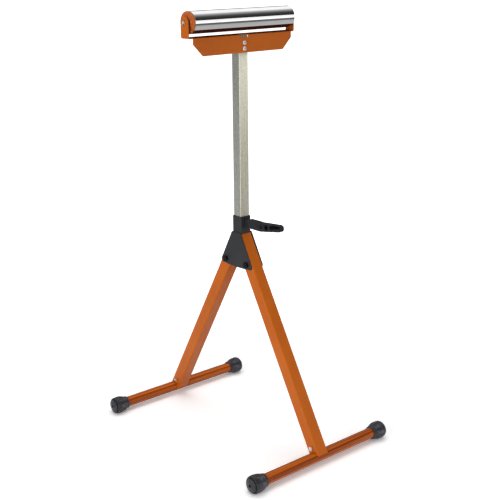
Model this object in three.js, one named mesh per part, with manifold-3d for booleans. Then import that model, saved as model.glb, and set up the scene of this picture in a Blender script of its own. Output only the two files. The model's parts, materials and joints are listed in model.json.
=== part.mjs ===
// Folding roller stand: a chromed roller in a sheet cradle, on a square post that slides in a
// sleeve between two folding legs. Millimetres, +Z up, X along the roller, -Y towards the lever.
// The origin lies on the floor, under the post. Shown with the post fully raised and the legs spread.
import * as THREE from "three";
import { mergeVertices } from "three/addons/utils/BufferGeometryUtils.js";
import Module from "manifold-3d";

const wasm = await Module();
wasm.setup();

// Clearances
const SEAT_GAP = 0.3; // between pieces that sit on each other
const SLIDE_GAP = 0.3; // each side of a piece that slides
const CUT_OVER = 2; // how far a cutting shape runs past the face it cuts
const WELD = 1e-4; // points closer than this are one point

// Post
const POST_SIDE = 25.4;
const POST_WALL = 1.5;
const POST_CORNER = 1.2;
const POST_LENGTH = 512.3;
const STOP_FROM_END = 14; // stop rivet above the post's lower end
const STOP_HEAD_R = 3.5;
const STOP_HEAD_H = 1.2;
const STOP_SHANK_R = 2;

// Square stock that the sleeve and both legs are cut from: the post slides in it
const POST_PLAY = 0.6; // each side of the post
const STOCK_WALL = 1.7;
const STOCK_CORNER = 2.6;
const STOCK_SIDE = POST_SIDE + 2 * (POST_PLAY + STOCK_WALL);

// Cross tubes and their end caps
const TUBE_DIA = 25.4;
const TUBE_WALL = 1.6;
const TUBE_LENGTH = 402;
const CAP_BULB_R = 20.3;
const CAP_FLAT = 0.5; // depth of the flat that rests on the floor
const CAP_WALL = 1.4; // rubber at the neck
const CAP_SOCKET = 34.4;
const CAP_END = 6.8; // rubber beyond the tube's end
const CAP_BULB_AT = 28; // widest place, from the neck
const CAP_FACE_R = 14.5; // where the rounded edge meets the domed end
const CAP_DOME = 2.4;
const CAP_FLAT_R = 5; // flat in the middle of the domed end
const CAP_HOLE_R = 3;
const CAP_HOLE_DEPTH = 5;

// Spread legs
const BASE_SPREAD = 527.5; // between the cross tubes' axes
const PIVOT_SPREAD = 73; // between the pivot bolts
const PIVOT_HEIGHT = 421.9;
const FOOT_BOLT_UP = 21.2; // along the leg, above the cross tube's axis
const SPIGOT_LENGTH = 48;
const SPIGOT_WALL = 2.2;

// Yoke: sleeve and cheek plates, heights above the pivots
const SLEEVE_UP = 21.6;
const SLEEVE_LENGTH = 86.8;
const CHEEK_TOP_UP = 70.4;
const CHEEK_THICK = 2.5;
const CHEEK_CORNER_Y = 55.5;
const CHEEK_CORNER_UP = -4.5;
const CHEEK_CORNER_R = 5;
const CHEEK_SIDE_DROP = 10; // lower edge under the pivots
const CHEEK_MID_DROP = 13; // lower edge between them

// Fasteners: shank radius, size across the flats of head and nut, their heights
const M8 = { shank: 4, flats: 13, head: 5.3, nut: 6.5 };
const M6 = { shank: 3, flats: 10, head: 4.2, nut: 6 };
const M5 = { shank: 2.5, flats: 8, head: 2.8, nut: 4.8 };
const SCREW_HEAD_R = 4.6; // button heads on the skirt
const SCREW_CROWN_R = 2.7; // flat top of the head
const SCREW_RIM = 0.8; // straight edge of the head
const SCREW_SOCKET_R = 1.75;
const SCREW_SOCKET_DEPTH = 1.7;
const THREAD_PAST_NUT = 1.5;
const BUSH_R = 6.5;
const DOME_NUT_HEX = 3.4; // hexagonal part of an axle nut
const DOME_NUT_R = 4.1;
const DOME_NUT_FLATS = 9;
const DOME_NUT_SINK = 1.8; // centre of the dome below the hexagon's top

// Cradle: one folded sheet
const SHEET = 2.5;
const BEND_R = 1.8; // inside radius of its bends
const EAR_WIDTH = 25;
const SKIRT_INSET = 11.75; // from the ear's outer face to the skirt's end
const SKIRT_DROP = 37.4; // below the underside of the base
const SKIRT_CUT = 25.2; // cut corners, at 45 degrees
const SCREW_DROPS = [15.7, 28]; // upper and lower screw, below the underside of the base
const BEND_SLOT_DROP = 3.8;

// Roller
const ROLLER_DIA = 48;
const ROLLER_WALL = 1.8;
const ROLLER_TUBE_LENGTH = 282;
const ROLLER_UNDER_GAP = 6.7; // to the cradle's base
const ROLLER_END_GAP = 5.6; // to each ear
const CAP_FLANGE = 4; // left cap, outside the tube
const CAP_SPIGOT = 14; // each cap, inside the tube
const CAP_DISH = 1.3;
const CAP_DISH_INNER_R = 12;
const CAP_DISH_OUTER_R = 20.4;
const CAP_AXLE_HOLE_R = 5.5;

// Bearings
const AXLE_R = 3;
const BEARING_R = 9.5;
const BEARING_WIDTH = 6;
const BEARING_RECESS = 1; // below the cap's outer face
const BEARING_RING = 1.7; // thickness of each ring
const BALL_COUNT = 7;
const BALL_CAGE_WIDTH = 1.4;
const BALL_CAGE_HALF = 0.4;
const SPACER_R = 5;

// Lever, its bracket and the brake plunger
const LOCK_UP = 94.6; // lever pivot above the leg pivots
const LOCK_OUT = 57.45; // lever pivot in front of the sleeve
const BRACKET_WIDTH = 11;
const BRACKET_R = 10.6;
const BRACKET_LENGTH = 41.5; // from its root to the lever pivot
const BRACKET_ROOT_R = 1.2;
const BRACKET_ROOT_CUT = [7, 3.6]; // slanted lower corner at the root
const BRACKET_SLOT = 6.4;
const BRACKET_SLOT_DEPTH = 15; // behind the lever pivot
const FOOT_PLATE = 3;
const FOOT_PLATE_WIDTH = 21.6;
const FOOT_PLATE_HEIGHT = 26;
const NECK_WIDTH = 9.6;
const NECK_HEIGHT = 16;
const PLUNGER_R = 3.4;
const FACING_LENGTH = 2.5;
const LEVER_LENGTH = 60; // pivot to the centre of the tip
const LEVER_RISE = THREE.MathUtils.degToRad(7.5);
const LEVER_ROOT_R = 10.4;
const LEVER_TIP_R = 7.9;
const LEVER_WIDTH = 10;
const LEVER_DISH_R = 6.2; // round recess in each flank, next to the bracket
const LEVER_DISH_DEPTH = 3.4;
const LEVER_DISH_AT = 18.5; // from the pivot
const LEVER_RUN_GAP = 0.5; // round the bracket's end
const LEVER_POCKET_DEPTH = 1.2;
const LEVER_POCKET_RIM = 2.2;
const LEVER_POCKET_AT = 34; // centre of its inner end, from the pivot
const LEVER_SLOT_LENGTH = 15;
const LEVER_SLOT_HEIGHT = 3.2;
const LEVER_SLOT_DEPTH = 3.2; // below each flank
const LEVER_NOTCH_AT = 40; // small notch in the lower edge, from the pivot
const LEVER_NOTCH_R = 1.8;
const CAM_R = 7.4;
const CAM_OUT = 1.5; // cam centre from the pivot, towards the post
const CAM_UP = 2.5;
const LEVER_PIN_R = 2.5;
const LEVER_PIN_HEAD_R = 4;
const LEVER_PIN_HEAD_H = 1.6;
const CLIP_R = 4.6;
const CLIP_THICK = 1;
const SPRING_R = 6.2;
const SPRING_THICK = 0.8;

// Facets round a full circle
const FINE = 48;
const MEDIUM = 28;
const COARSE = 16;
const HEXAGON = 6;
const CORNER_STEPS = 4;

// Places that follow from the sizes above
const TUBE_R = TUBE_DIA / 2;
const TUBE_Y = BASE_SPREAD / 2;
const TUBE_Z = CAP_BULB_R - CAP_FLAT;
const PIVOT_Y = PIVOT_SPREAD / 2;
const LEG_TILT = Math.atan2(TUBE_Y - PIVOT_Y, PIVOT_HEIGHT - TUBE_Z);
const SLEEVE_BASE_Z = PIVOT_HEIGHT + SLEEVE_UP;
const STOP_Z = SLEEVE_BASE_Z - SEAT_GAP - STOP_HEAD_R;
const POST_BASE_Z = STOP_Z - STOP_FROM_END;
const POST_TOP_Z = POST_BASE_Z + POST_LENGTH;
const CRADLE_Z = POST_TOP_Z + SEAT_GAP;
const AXLE_Z = CRADLE_Z + SHEET + ROLLER_UNDER_GAP + ROLLER_DIA / 2;
const EAR_INNER_X =
  (ROLLER_TUBE_LENGTH + SEAT_GAP + CAP_FLANGE) / 2 + ROLLER_END_GAP;
const EAR_OUTER_X = EAR_INNER_X + SHEET;
const STOCK_HALF = STOCK_SIDE / 2;
const CHEEK_INNER_X = STOCK_HALF + SEAT_GAP;
const CHEEK_OUTER_X = CHEEK_INNER_X + CHEEK_THICK;
const SKIRT_INNER_Y = -POST_SIDE / 2 - SEAT_GAP;
const SKIRT_OUTER_Y = SKIRT_INNER_Y - SHEET;
const LOCK_Y = -STOCK_HALF - LOCK_OUT;
const LOCK_Z = PIVOT_HEIGHT + LOCK_UP;

// Finishes
const finish = (color, roughness, metalness) =>
  new THREE.MeshStandardMaterial({ color, roughness, metalness });
const ORANGE = finish(0xc9651f, 0.38, 0);
const ORANGE_PLASTIC = finish(0xb85f28, 0.5, 0);
const CHROME = finish(0xdedfe2, 0.06, 1);
const GALVANISED = finish(0xc3c4c2, 0.4, 0.9);
const CHARCOAL = finish(0x3d3d3f, 0.55, 0);
const BLACK_PLASTIC = finish(0x2c2b2f, 0.5, 0);
const RUBBER = finish(0x2f2f36, 0.75, 0);
const STEEL = finish(0xb9babd, 0.28, 1);
const BLACK_STEEL = finish(0x1e1e20, 0.45, 0.4);

// Solids from geometry

function solid(geometry) {
  const bare = geometry.clone();
  bare.deleteAttribute("normal");
  bare.deleteAttribute("uv");
  const merged = mergeVertices(bare, WELD);
  const corners = merged.index.array;
  const kept = [];
  for (let i = 0; i < corners.length; i += 3) {
    const [a, b, c] = corners.slice(i, i + 3);
    if (a !== b && b !== c && c !== a) kept.push(a, b, c);
  }
  const vertProperties = merged.attributes.position.array;
  const triVerts = new Uint32Array(kept);
  return new wasm.Manifold(new wasm.Mesh({ numProp: 3, vertProperties, triVerts }));
}

function geometryOf(body) {
  const { vertProperties, triVerts } = body.getMesh();
  const geometry = new THREE.BufferGeometry();
  geometry.setAttribute("position", new THREE.BufferAttribute(vertProperties, 3));
  geometry.setIndex(new THREE.BufferAttribute(triVerts, 1));
  geometry.computeVertexNormals();
  return geometry;
}

const axes = (x, y, z) =>
  new THREE.Matrix4().makeBasis(
    new THREE.Vector3(...x),
    new THREE.Vector3(...y),
    new THREE.Vector3(...z),
  );
const ALONG_X = axes([0, 1, 0], [0, 0, 1], [1, 0, 0]); // outline in Y and Z
const ALONG_Y = axes([1, 0, 0], [0, 0, 1], [0, -1, 0]); // outline in X and Z

function extruded(shape, depth) {
  const options = { depth, bevelEnabled: false, curveSegments: CORNER_STEPS };
  return new THREE.ExtrudeGeometry(shape, options);
}

function prismX(shape, x0, x1) {
  return solid(extruded(shape, x1 - x0).applyMatrix4(ALONG_X).translate(x0, 0, 0));
}

function prismY(shape, y0, y1) {
  return solid(extruded(shape, y1 - y0).applyMatrix4(ALONG_Y).translate(0, y1, 0));
}

function box(x0, x1, y0, y1, z0, z1) {
  const geometry = new THREE.BoxGeometry(x1 - x0, y1 - y0, z1 - z0);
  return solid(geometry.translate((x0 + x1) / 2, (y0 + y1) / 2, (z0 + z1) / 2));
}

// Round or hexagonal bars along X and along Y
function barX(radius, x0, x1, y, z, facets) {
  const geometry = new THREE.CylinderGeometry(radius, radius, x1 - x0, facets);
  return solid(geometry.rotateZ(Math.PI / 2).translate((x0 + x1) / 2, y, z));
}

function barY(radius, y0, y1, x, z, facets) {
  const geometry = new THREE.CylinderGeometry(radius, radius, y1 - y0, facets);
  return solid(geometry.translate(x, (y0 + y1) / 2, z));
}

// Two places in rising order
const ordered = (a, b) => [Math.min(a, b), Math.max(a, b)];

// A turned piece about X: each profile point is [distance from the axis, place along X]
function turned(profile, y, z, facets = MEDIUM) {
  const points = profile.map(([r, along]) => new THREE.Vector2(r, along));
  const geometry = new THREE.LatheGeometry(points, facets).rotateZ(-Math.PI / 2);
  return solid(geometry.translate(0, y, z));
}

// A ring about X with a square section
function ringX(inner, outer, x0, x1, y, z, facets = MEDIUM) {
  const profile = [
    [inner, x0],
    [outer, x0],
    [outer, x1],
    [inner, x1],
    [inner, x0],
  ];
  return turned(profile, y, z, facets);
}

function roundedSquare(half, radius, Outline) {
  const outline = new Outline();
  const reach = half - radius;
  outline.absarc(reach, reach, radius, 0, Math.PI / 2, false);
  outline.absarc(-reach, reach, radius, Math.PI / 2, Math.PI, false);
  outline.absarc(-reach, -reach, radius, Math.PI, 1.5 * Math.PI, false);
  outline.absarc(reach, -reach, radius, 1.5 * Math.PI, 2 * Math.PI, false);
  outline.closePath();
  return outline;
}

// Square tube along Z, standing on the origin
function squareTube(side, wall, corner, length) {
  const section = roundedSquare(side / 2, corner, THREE.Shape);
  const innerCorner = Math.max(corner - wall, wall / 2);
  section.holes.push(roundedSquare(side / 2 - wall, innerCorner, THREE.Path));
  return extruded(section, length);
}

// Outline round two circles of different size, each given as centre and radius
function taperedOutline([ay, az], ar, [by, bz], br) {
  const along = Math.atan2(bz - az, by - ay);
  const reach = Math.hypot(by - ay, bz - az);
  const side = Math.acos((ar - br) / reach);
  const outline = new THREE.Shape();
  outline.absarc(by, bz, br, along - side, along + side, false);
  outline.absarc(ay, az, ar, along + side, along - side + 2 * Math.PI, false);
  outline.closePath();
  return outline;
}

const group = new THREE.Group();

function piece(name, body, material) {
  const mesh = new THREE.Mesh(geometryOf(body), material.clone());
  mesh.name = name;
  group.add(mesh);
}

const acrossCorners = (flats) => flats / Math.sqrt(3); // corner radius of a hexagon

// A hexagon bolt along X, its head at headX and its shank running to shankX, to the right
function boltX(size, headX, shankX, y, z) {
  const head = barX(acrossCorners(size.flats), headX - size.head, headX, y, z, HEXAGON);
  const shank = barX(size.shank, headX - size.head / 2, shankX, y, z, COARSE);
  return head.add(shank);
}

// A hexagon nut along X, its seat at seatX
function nutX(size, seatX, y, z) {
  const nut = barX(acrossCorners(size.flats), seatX, seatX + size.nut, y, z, HEXAGON);
  const bore = [size.shank + SEAT_GAP, seatX - CUT_OVER, seatX + size.nut + CUT_OVER];
  return nut.subtract(barX(...bore, y, z, COARSE));
}

// Roller

const LEFT_FACE_X = -EAR_INNER_X + ROLLER_END_GAP;
const TUBE_LEFT_X = LEFT_FACE_X + CAP_FLANGE + SEAT_GAP;
const TUBE_RIGHT_X = TUBE_LEFT_X + ROLLER_TUBE_LENGTH;
const ROLLER_R = ROLLER_DIA / 2;
const ROLLER_BORE_R = ROLLER_R - ROLLER_WALL;

function rollerTube() {
  return ringX(ROLLER_BORE_R, ROLLER_R, TUBE_LEFT_X, TUBE_RIGHT_X, 0, AXLE_Z, FINE);
}

// End cap with its outer face at faceX; inward is +1 on the left end and -1 on the right.
// A flange as wide as the tube stands outside it, or the cap sits wholly inside.
function rollerCap(faceX, inward, flange) {
  const spigotR = ROLLER_BORE_R - SEAT_GAP;
  const flangeR = flange > 0 ? ROLLER_R : spigotR;
  const at = (depth) => faceX + inward * depth;
  const pocketR = BEARING_R + SEAT_GAP;
  const pocketDepth = BEARING_RECESS + BEARING_WIDTH + SEAT_GAP;
  const dishOuterR = Math.min(CAP_DISH_OUTER_R, flangeR - CAP_DISH);
  const whole = flange + CAP_SPIGOT;
  const profile = [
    [pocketR, at(0)],
    [CAP_DISH_INNER_R, at(0)],
    [CAP_DISH_INNER_R + CAP_DISH, at(CAP_DISH)],
    [dishOuterR - CAP_DISH, at(CAP_DISH)],
    [dishOuterR, at(0)],
    [flangeR - CAP_DISH / 2, at(0)],
    [flangeR, at(CAP_DISH / 2)],
    [flangeR, at(Math.max(flange, CAP_DISH))],
    [spigotR, at(Math.max(flange, CAP_DISH))],
    [spigotR, at(whole)],
    [CAP_AXLE_HOLE_R, at(whole)],
    [CAP_AXLE_HOLE_R, at(pocketDepth)],
    [pocketR, at(pocketDepth)],
    [pocketR, at(0)],
  ];
  const distinct = profile.filter(
    ([r, x], i) => i === 0 || r !== profile[i - 1][0] || x !== profile[i - 1][1],
  );
  return turned(inward > 0 ? distinct : distinct.reverse(), 0, AXLE_Z, FINE);
}

function bearing(side, faceX, inward) {
  const near = faceX + inward * BEARING_RECESS;
  const far = near + inward * BEARING_WIDTH;
  const [x0, x1] = ordered(near, far);
  const middle = (x0 + x1) / 2;
  const innerR = AXLE_R + SEAT_GAP;
  const innerTopR = innerR + BEARING_RING;
  const outerBaseR = BEARING_R - BEARING_RING;
  const pitchR = (innerTopR + outerBaseR) / 2;
  const ballR = (outerBaseR - innerTopR) / 2 - SEAT_GAP;
  const outer = ringX(outerBaseR, BEARING_R, x0, x1, 0, AXLE_Z);
  const inner = ringX(innerR, innerTopR, x0, x1, 0, AXLE_Z);
  const cageX = [middle - BALL_CAGE_WIDTH / 2, middle + BALL_CAGE_WIDTH / 2];
  let balls = ringX(pitchR - BALL_CAGE_HALF, pitchR + BALL_CAGE_HALF, ...cageX, 0, AXLE_Z);
  for (let i = 0; i < BALL_COUNT; i += 1) {
    const angle = (2 * Math.PI * i) / BALL_COUNT;
    const ball = new THREE.SphereGeometry(ballR, COARSE / 2, COARSE / 2);
    const [y, z] = [pitchR * Math.cos(angle), AXLE_Z + pitchR * Math.sin(angle)];
    balls = balls.add(solid(ball.translate(middle, y, z)));
  }
  piece(`bearing_outer_${side}`, outer, STEEL);
  piece(`bearing_balls_${side}`, balls, STEEL);
  piece(`bearing_inner_${side}`, inner, STEEL);
  const spacerX = ordered(inward * (SEAT_GAP - EAR_INNER_X), near - inward * SEAT_GAP);
  piece(`axle_spacer_${side}`, ringX(innerR, SPACER_R, ...spacerX, 0, AXLE_Z, COARSE), STEEL);
}

piece("roller_tube", rollerTube(), CHROME);
piece("roller_cap_left", rollerCap(LEFT_FACE_X, 1, CAP_FLANGE), ORANGE_PLASTIC);
piece("roller_cap_right", rollerCap(TUBE_RIGHT_X, -1, 0), ORANGE_PLASTIC);
bearing("left", LEFT_FACE_X, 1);
bearing("right", TUBE_RIGHT_X, -1);

// Axle and its domed nuts

const NUT_SEAT_X = EAR_OUTER_X + SEAT_GAP;
const AXLE_END_X = NUT_SEAT_X + DOME_NUT_HEX - SEAT_GAP;

function domedNut(side) {
  const seat = side * NUT_SEAT_X;
  const top = seat + side * DOME_NUT_HEX;
  const across = DOME_NUT_FLATS;
  const outside = [-across, across, AXLE_Z - across, AXLE_Z + across];
  const beyondSeat = box(...ordered(seat, top + side * DOME_NUT_R), ...outside);
  const ball = new THREE.SphereGeometry(DOME_NUT_R, COARSE, COARSE / 2);
  const dome = solid(ball.translate(top - side * DOME_NUT_SINK, 0, AXLE_Z));
  const hexagon = barX(acrossCorners(across), ...ordered(seat, top), 0, AXLE_Z, HEXAGON);
  const boreX = ordered(seat - side * CUT_OVER, side * (AXLE_END_X + SEAT_GAP));
  const bore = barX(AXLE_R + SEAT_GAP, ...boreX, 0, AXLE_Z, COARSE);
  return dome.intersect(beyondSeat).add(hexagon).subtract(bore);
}

piece("axle", barX(AXLE_R, -AXLE_END_X, AXLE_END_X, 0, AXLE_Z, COARSE), STEEL);
piece("axle_nut_left", domedNut(-1), STEEL);
piece("axle_nut_right", domedNut(1), STEEL);

// Cradle

// Half of a folded strip's section: flat to the bend at (edge, base), then up or down to the end
function foldedSection(edge, base, end) {
  const turn = Math.sign(edge);
  const rise = Math.sign(end - base);
  const outerR = BEND_R + SHEET;
  const flatOuter = base;
  const flatInner = base + rise * SHEET;
  const section = new THREE.Shape();
  section.moveTo(0, flatOuter);
  section.lineTo(edge - turn * outerR, flatOuter);
  section.quadraticCurveTo(edge, flatOuter, edge, flatOuter + rise * outerR);
  section.lineTo(edge, end);
  section.lineTo(edge - turn * SHEET, end);
  section.lineTo(edge - turn * SHEET, flatInner + rise * BEND_R);
  section.quadraticCurveTo(edge - turn * SHEET, flatInner, edge - turn * outerR, flatInner);
  section.lineTo(0, flatInner);
  section.closePath();
  return section;
}

function cradle() {
  const earR = EAR_WIDTH / 2;
  const earTop = AXLE_Z + earR;
  const right = prismY(foldedSection(EAR_OUTER_X, CRADLE_Z, earTop), -earR, earR);
  const left = prismY(foldedSection(-EAR_OUTER_X, CRADLE_Z, earTop), -earR, earR);
  const earOutline = new THREE.Shape();
  earOutline.moveTo(-earR, CRADLE_Z - CUT_OVER);
  earOutline.lineTo(earR, CRADLE_Z - CUT_OVER);
  earOutline.absarc(0, AXLE_Z, earR, 0, Math.PI, false);
  earOutline.closePath();
  const width = EAR_OUTER_X + CUT_OVER;
  const strip = right.add(left).intersect(prismX(earOutline, -width, width));

  const skirtX = EAR_OUTER_X - SKIRT_INSET;
  const skirtEnd = CRADLE_Z - SKIRT_DROP;
  const skirtSection = foldedSection(SKIRT_OUTER_Y, CRADLE_Z + SHEET, skirtEnd);
  const skirtBlank = prismX(skirtSection, -skirtX, skirtX);
  const skirtOutline = new THREE.Shape();
  skirtOutline.moveTo(-skirtX, CRADLE_Z + SHEET + CUT_OVER);
  skirtOutline.lineTo(-skirtX, skirtEnd + SKIRT_CUT);
  skirtOutline.lineTo(-skirtX + SKIRT_CUT, skirtEnd);
  skirtOutline.lineTo(skirtX - SKIRT_CUT, skirtEnd);
  skirtOutline.lineTo(skirtX, skirtEnd + SKIRT_CUT);
  skirtOutline.lineTo(skirtX, CRADLE_Z + SHEET + CUT_OVER);
  skirtOutline.closePath();
  const skirt = skirtBlank.intersect(prismY(skirtOutline, SKIRT_OUTER_Y - CUT_OVER, CUT_OVER));

  const slotX = POST_SIDE / 2 + SEAT_GAP;
  const bendSlot = box(
    -slotX,
    slotX,
    SKIRT_OUTER_Y - CUT_OVER,
    SKIRT_INNER_Y + BEND_R + SEAT_GAP,
    CRADLE_Z - BEND_SLOT_DROP,
    CRADLE_Z + SHEET + CUT_OVER,
  );
  let body = strip.add(skirt).subtract(bendSlot);
  const axleHole = barX(AXLE_R + SEAT_GAP, -width, width, 0, AXLE_Z, COARSE);
  body = body.subtract(axleHole);
  for (const drop of SCREW_DROPS) {
    const hole = [M5.shank + SEAT_GAP, SKIRT_OUTER_Y - CUT_OVER, SKIRT_INNER_Y + CUT_OVER];
    body = body.subtract(barY(...hole, 0, CRADLE_Z - drop, COARSE));
  }
  return body;
}

piece("cradle", cradle(), ORANGE);

// Post with its screws and stop rivet

function post() {
  const tube = squareTube(POST_SIDE, POST_WALL, POST_CORNER, POST_LENGTH);
  let body = solid(tube.translate(0, 0, POST_BASE_Z));
  for (const drop of SCREW_DROPS) {
    const hole = barY(M5.shank + SEAT_GAP, -POST_SIDE, POST_SIDE, 0, CRADLE_Z - drop, COARSE);
    body = body.subtract(hole);
  }
  const stopHole = barY(STOP_SHANK_R + SEAT_GAP, -POST_SIDE, 0, 0, STOP_Z, COARSE);
  return body.subtract(stopHole);
}

// Button-head screw through skirt and post, its head at the front
function skirtScrew(z) {
  const seat = SKIRT_OUTER_Y - SEAT_GAP;
  const top = seat - M5.head;
  const shankEnd = POST_SIDE / 2 + SEAT_GAP + M5.nut + THREAD_PAST_NUT;
  const crown = new THREE.QuadraticBezierCurve(
    new THREE.Vector2(SCREW_CROWN_R, top),
    new THREE.Vector2(SCREW_HEAD_R, top),
    new THREE.Vector2(SCREW_HEAD_R, seat - SCREW_RIM),
  );
  const points = [
    new THREE.Vector2(0, top),
    ...crown.getPoints(3),
    new THREE.Vector2(SCREW_HEAD_R, seat),
    new THREE.Vector2(M5.shank, seat),
    new THREE.Vector2(M5.shank, shankEnd),
    new THREE.Vector2(0, shankEnd),
  ];
  const screw = solid(new THREE.LatheGeometry(points, COARSE).translate(0, 0, z));
  const socket = [SCREW_SOCKET_R, top - CUT_OVER, top + SCREW_SOCKET_DEPTH];
  return screw.subtract(barY(...socket, 0, z, HEXAGON));
}

function skirtNut(z) {
  const seat = POST_SIDE / 2 + SEAT_GAP;
  const nut = barY(acrossCorners(M5.flats), seat, seat + M5.nut, 0, z, HEXAGON);
  return nut.subtract(
    barY(M5.shank + SEAT_GAP, seat - CUT_OVER, seat + M5.nut + CUT_OVER, 0, z, COARSE),
  );
}

function stopRivet() {
  const face = -POST_SIDE / 2;
  const head = barY(STOP_HEAD_R, face - STOP_HEAD_H, face - SEAT_GAP / 2, 0, STOP_Z, COARSE);
  const shankEnd = face + POST_WALL + STOP_HEAD_H;
  return head.add(barY(STOP_SHANK_R, face - STOP_HEAD_H / 2, shankEnd, 0, STOP_Z, COARSE));
}

piece("post", post(), GALVANISED);
["upper", "lower"].forEach((place, i) => {
  const z = CRADLE_Z - SCREW_DROPS[i];
  piece(`skirt_screw_${place}`, skirtScrew(z), STEEL);
  piece(`skirt_nut_${place}`, skirtNut(z), STEEL);
});
piece("post_stop_rivet", stopRivet(), BLACK_STEEL);

// Yoke

function sleeve() {
  const tube = squareTube(STOCK_SIDE, STOCK_WALL, STOCK_CORNER, SLEEVE_LENGTH);
  const window = barY(PLUNGER_R + SLIDE_GAP, -STOCK_SIDE, 0, 0, LOCK_Z, COARSE);
  return solid(tube.translate(0, 0, SLEEVE_BASE_Z)).subtract(window);
}

function cheek(side) {
  const top = PIVOT_HEIGHT + CHEEK_TOP_UP;
  const corner = [CHEEK_CORNER_Y, PIVOT_HEIGHT + CHEEK_CORNER_UP];
  const slope = Math.atan2(top - corner[1], STOCK_HALF - corner[0]);
  const above = [
    corner[0] + CHEEK_CORNER_R * Math.cos(slope),
    corner[1] + CHEEK_CORNER_R * Math.sin(slope),
  ];
  const below = [CHEEK_CORNER_Y - CHEEK_CORNER_R, PIVOT_HEIGHT - CHEEK_SIDE_DROP];
  const middle = PIVOT_HEIGHT - 2 * CHEEK_MID_DROP + CHEEK_SIDE_DROP;
  const outline = new THREE.Shape();
  outline.moveTo(STOCK_HALF, top);
  outline.lineTo(-STOCK_HALF, top);
  outline.lineTo(-above[0], above[1]);
  outline.quadraticCurveTo(-corner[0], corner[1], -below[0], below[1]);
  outline.quadraticCurveTo(0, middle, ...below);
  outline.quadraticCurveTo(...corner, ...above);
  outline.closePath();
  const [x0, x1] = ordered(side * CHEEK_INNER_X, side * CHEEK_OUTER_X);
  let body = prismX(outline, x0, x1);
  for (const y of [-PIVOT_Y, PIVOT_Y]) {
    const hole = [M8.shank + SEAT_GAP, x0 - CUT_OVER, x1 + CUT_OVER];
    body = body.subtract(barX(...hole, y, PIVOT_HEIGHT, COARSE));
  }
  return body;
}

piece("sleeve", sleeve(), CHARCOAL);
piece("cheek_left", cheek(-1), CHARCOAL);
piece("cheek_right", cheek(1), CHARCOAL);

function legPivot(place, y) {
  const headX = -CHEEK_OUTER_X - SEAT_GAP;
  const nutSeatX = CHEEK_OUTER_X + SEAT_GAP;
  const endX = nutSeatX + M8.nut + THREAD_PAST_NUT;
  piece(`pivot_bolt_${place}`, boltX(M8, headX, endX, y, PIVOT_HEIGHT), BLACK_STEEL);
  piece(`pivot_nut_${place}`, nutX(M8, nutSeatX, y, PIVOT_HEIGHT), BLACK_STEEL);
  const bush = [M8.shank + SEAT_GAP, BUSH_R, -STOCK_HALF, STOCK_HALF];
  piece(`pivot_bush_${place}`, ringX(...bush, y, PIVOT_HEIGHT, COARSE), STEEL);
}

legPivot("front", -PIVOT_Y);
legPivot("rear", PIVOT_Y);

// Lever lock

const PLUNGER_FRONT_Y = -POST_SIDE / 2 - SEAT_GAP;
const CAM_FRONT_Y = LOCK_Y + CAM_OUT + CAM_R;

function leverBracket() {
  const [x0, x1] = [-BRACKET_WIDTH / 2, BRACKET_WIDTH / 2];
  const rootY = LOCK_Y + BRACKET_LENGTH;
  const [top, bottom] = [LOCK_Z + BRACKET_R, LOCK_Z - BRACKET_R];
  const [cutY, cutZ] = BRACKET_ROOT_CUT;
  const arm = new THREE.Shape();
  arm.moveTo(rootY - cutY, bottom);
  arm.lineTo(rootY, bottom + cutZ);
  arm.lineTo(rootY, top - BRACKET_ROOT_R);
  arm.quadraticCurveTo(rootY, top, rootY - BRACKET_ROOT_R, top);
  arm.absarc(LOCK_Y, LOCK_Z, BRACKET_R, Math.PI / 2, 1.5 * Math.PI, false);
  arm.closePath();
  const face = -STOCK_HALF - SEAT_GAP;
  const plate = box(
    -FOOT_PLATE_WIDTH / 2,
    FOOT_PLATE_WIDTH / 2,
    face - FOOT_PLATE,
    face,
    LOCK_Z - FOOT_PLATE_HEIGHT / 2,
    LOCK_Z + FOOT_PLATE_HEIGHT / 2,
  );
  const neck = box(
    -NECK_WIDTH / 2,
    NECK_WIDTH / 2,
    rootY - BRACKET_ROOT_R,
    face - FOOT_PLATE / 2,
    LOCK_Z - NECK_HEIGHT / 2,
    LOCK_Z + NECK_HEIGHT / 2,
  );
  const slot = box(
    -BRACKET_SLOT / 2,
    BRACKET_SLOT / 2,
    LOCK_Y - BRACKET_R - CUT_OVER,
    LOCK_Y + BRACKET_SLOT_DEPTH,
    LOCK_Z - BRACKET_R - CUT_OVER,
    LOCK_Z + BRACKET_R + CUT_OVER,
  );
  const bore = barY(PLUNGER_R + SLIDE_GAP, LOCK_Y, face + CUT_OVER, 0, LOCK_Z, COARSE);
  const pinHole = [LEVER_PIN_R + SEAT_GAP, x0 - CUT_OVER, x1 + CUT_OVER];
  return prismX(arm, x0, x1)
    .add(plate)
    .add(neck)
    .subtract(slot)
    .subtract(bore)
    .subtract(barX(...pinHole, LOCK_Y, LOCK_Z, COARSE));
}

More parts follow.
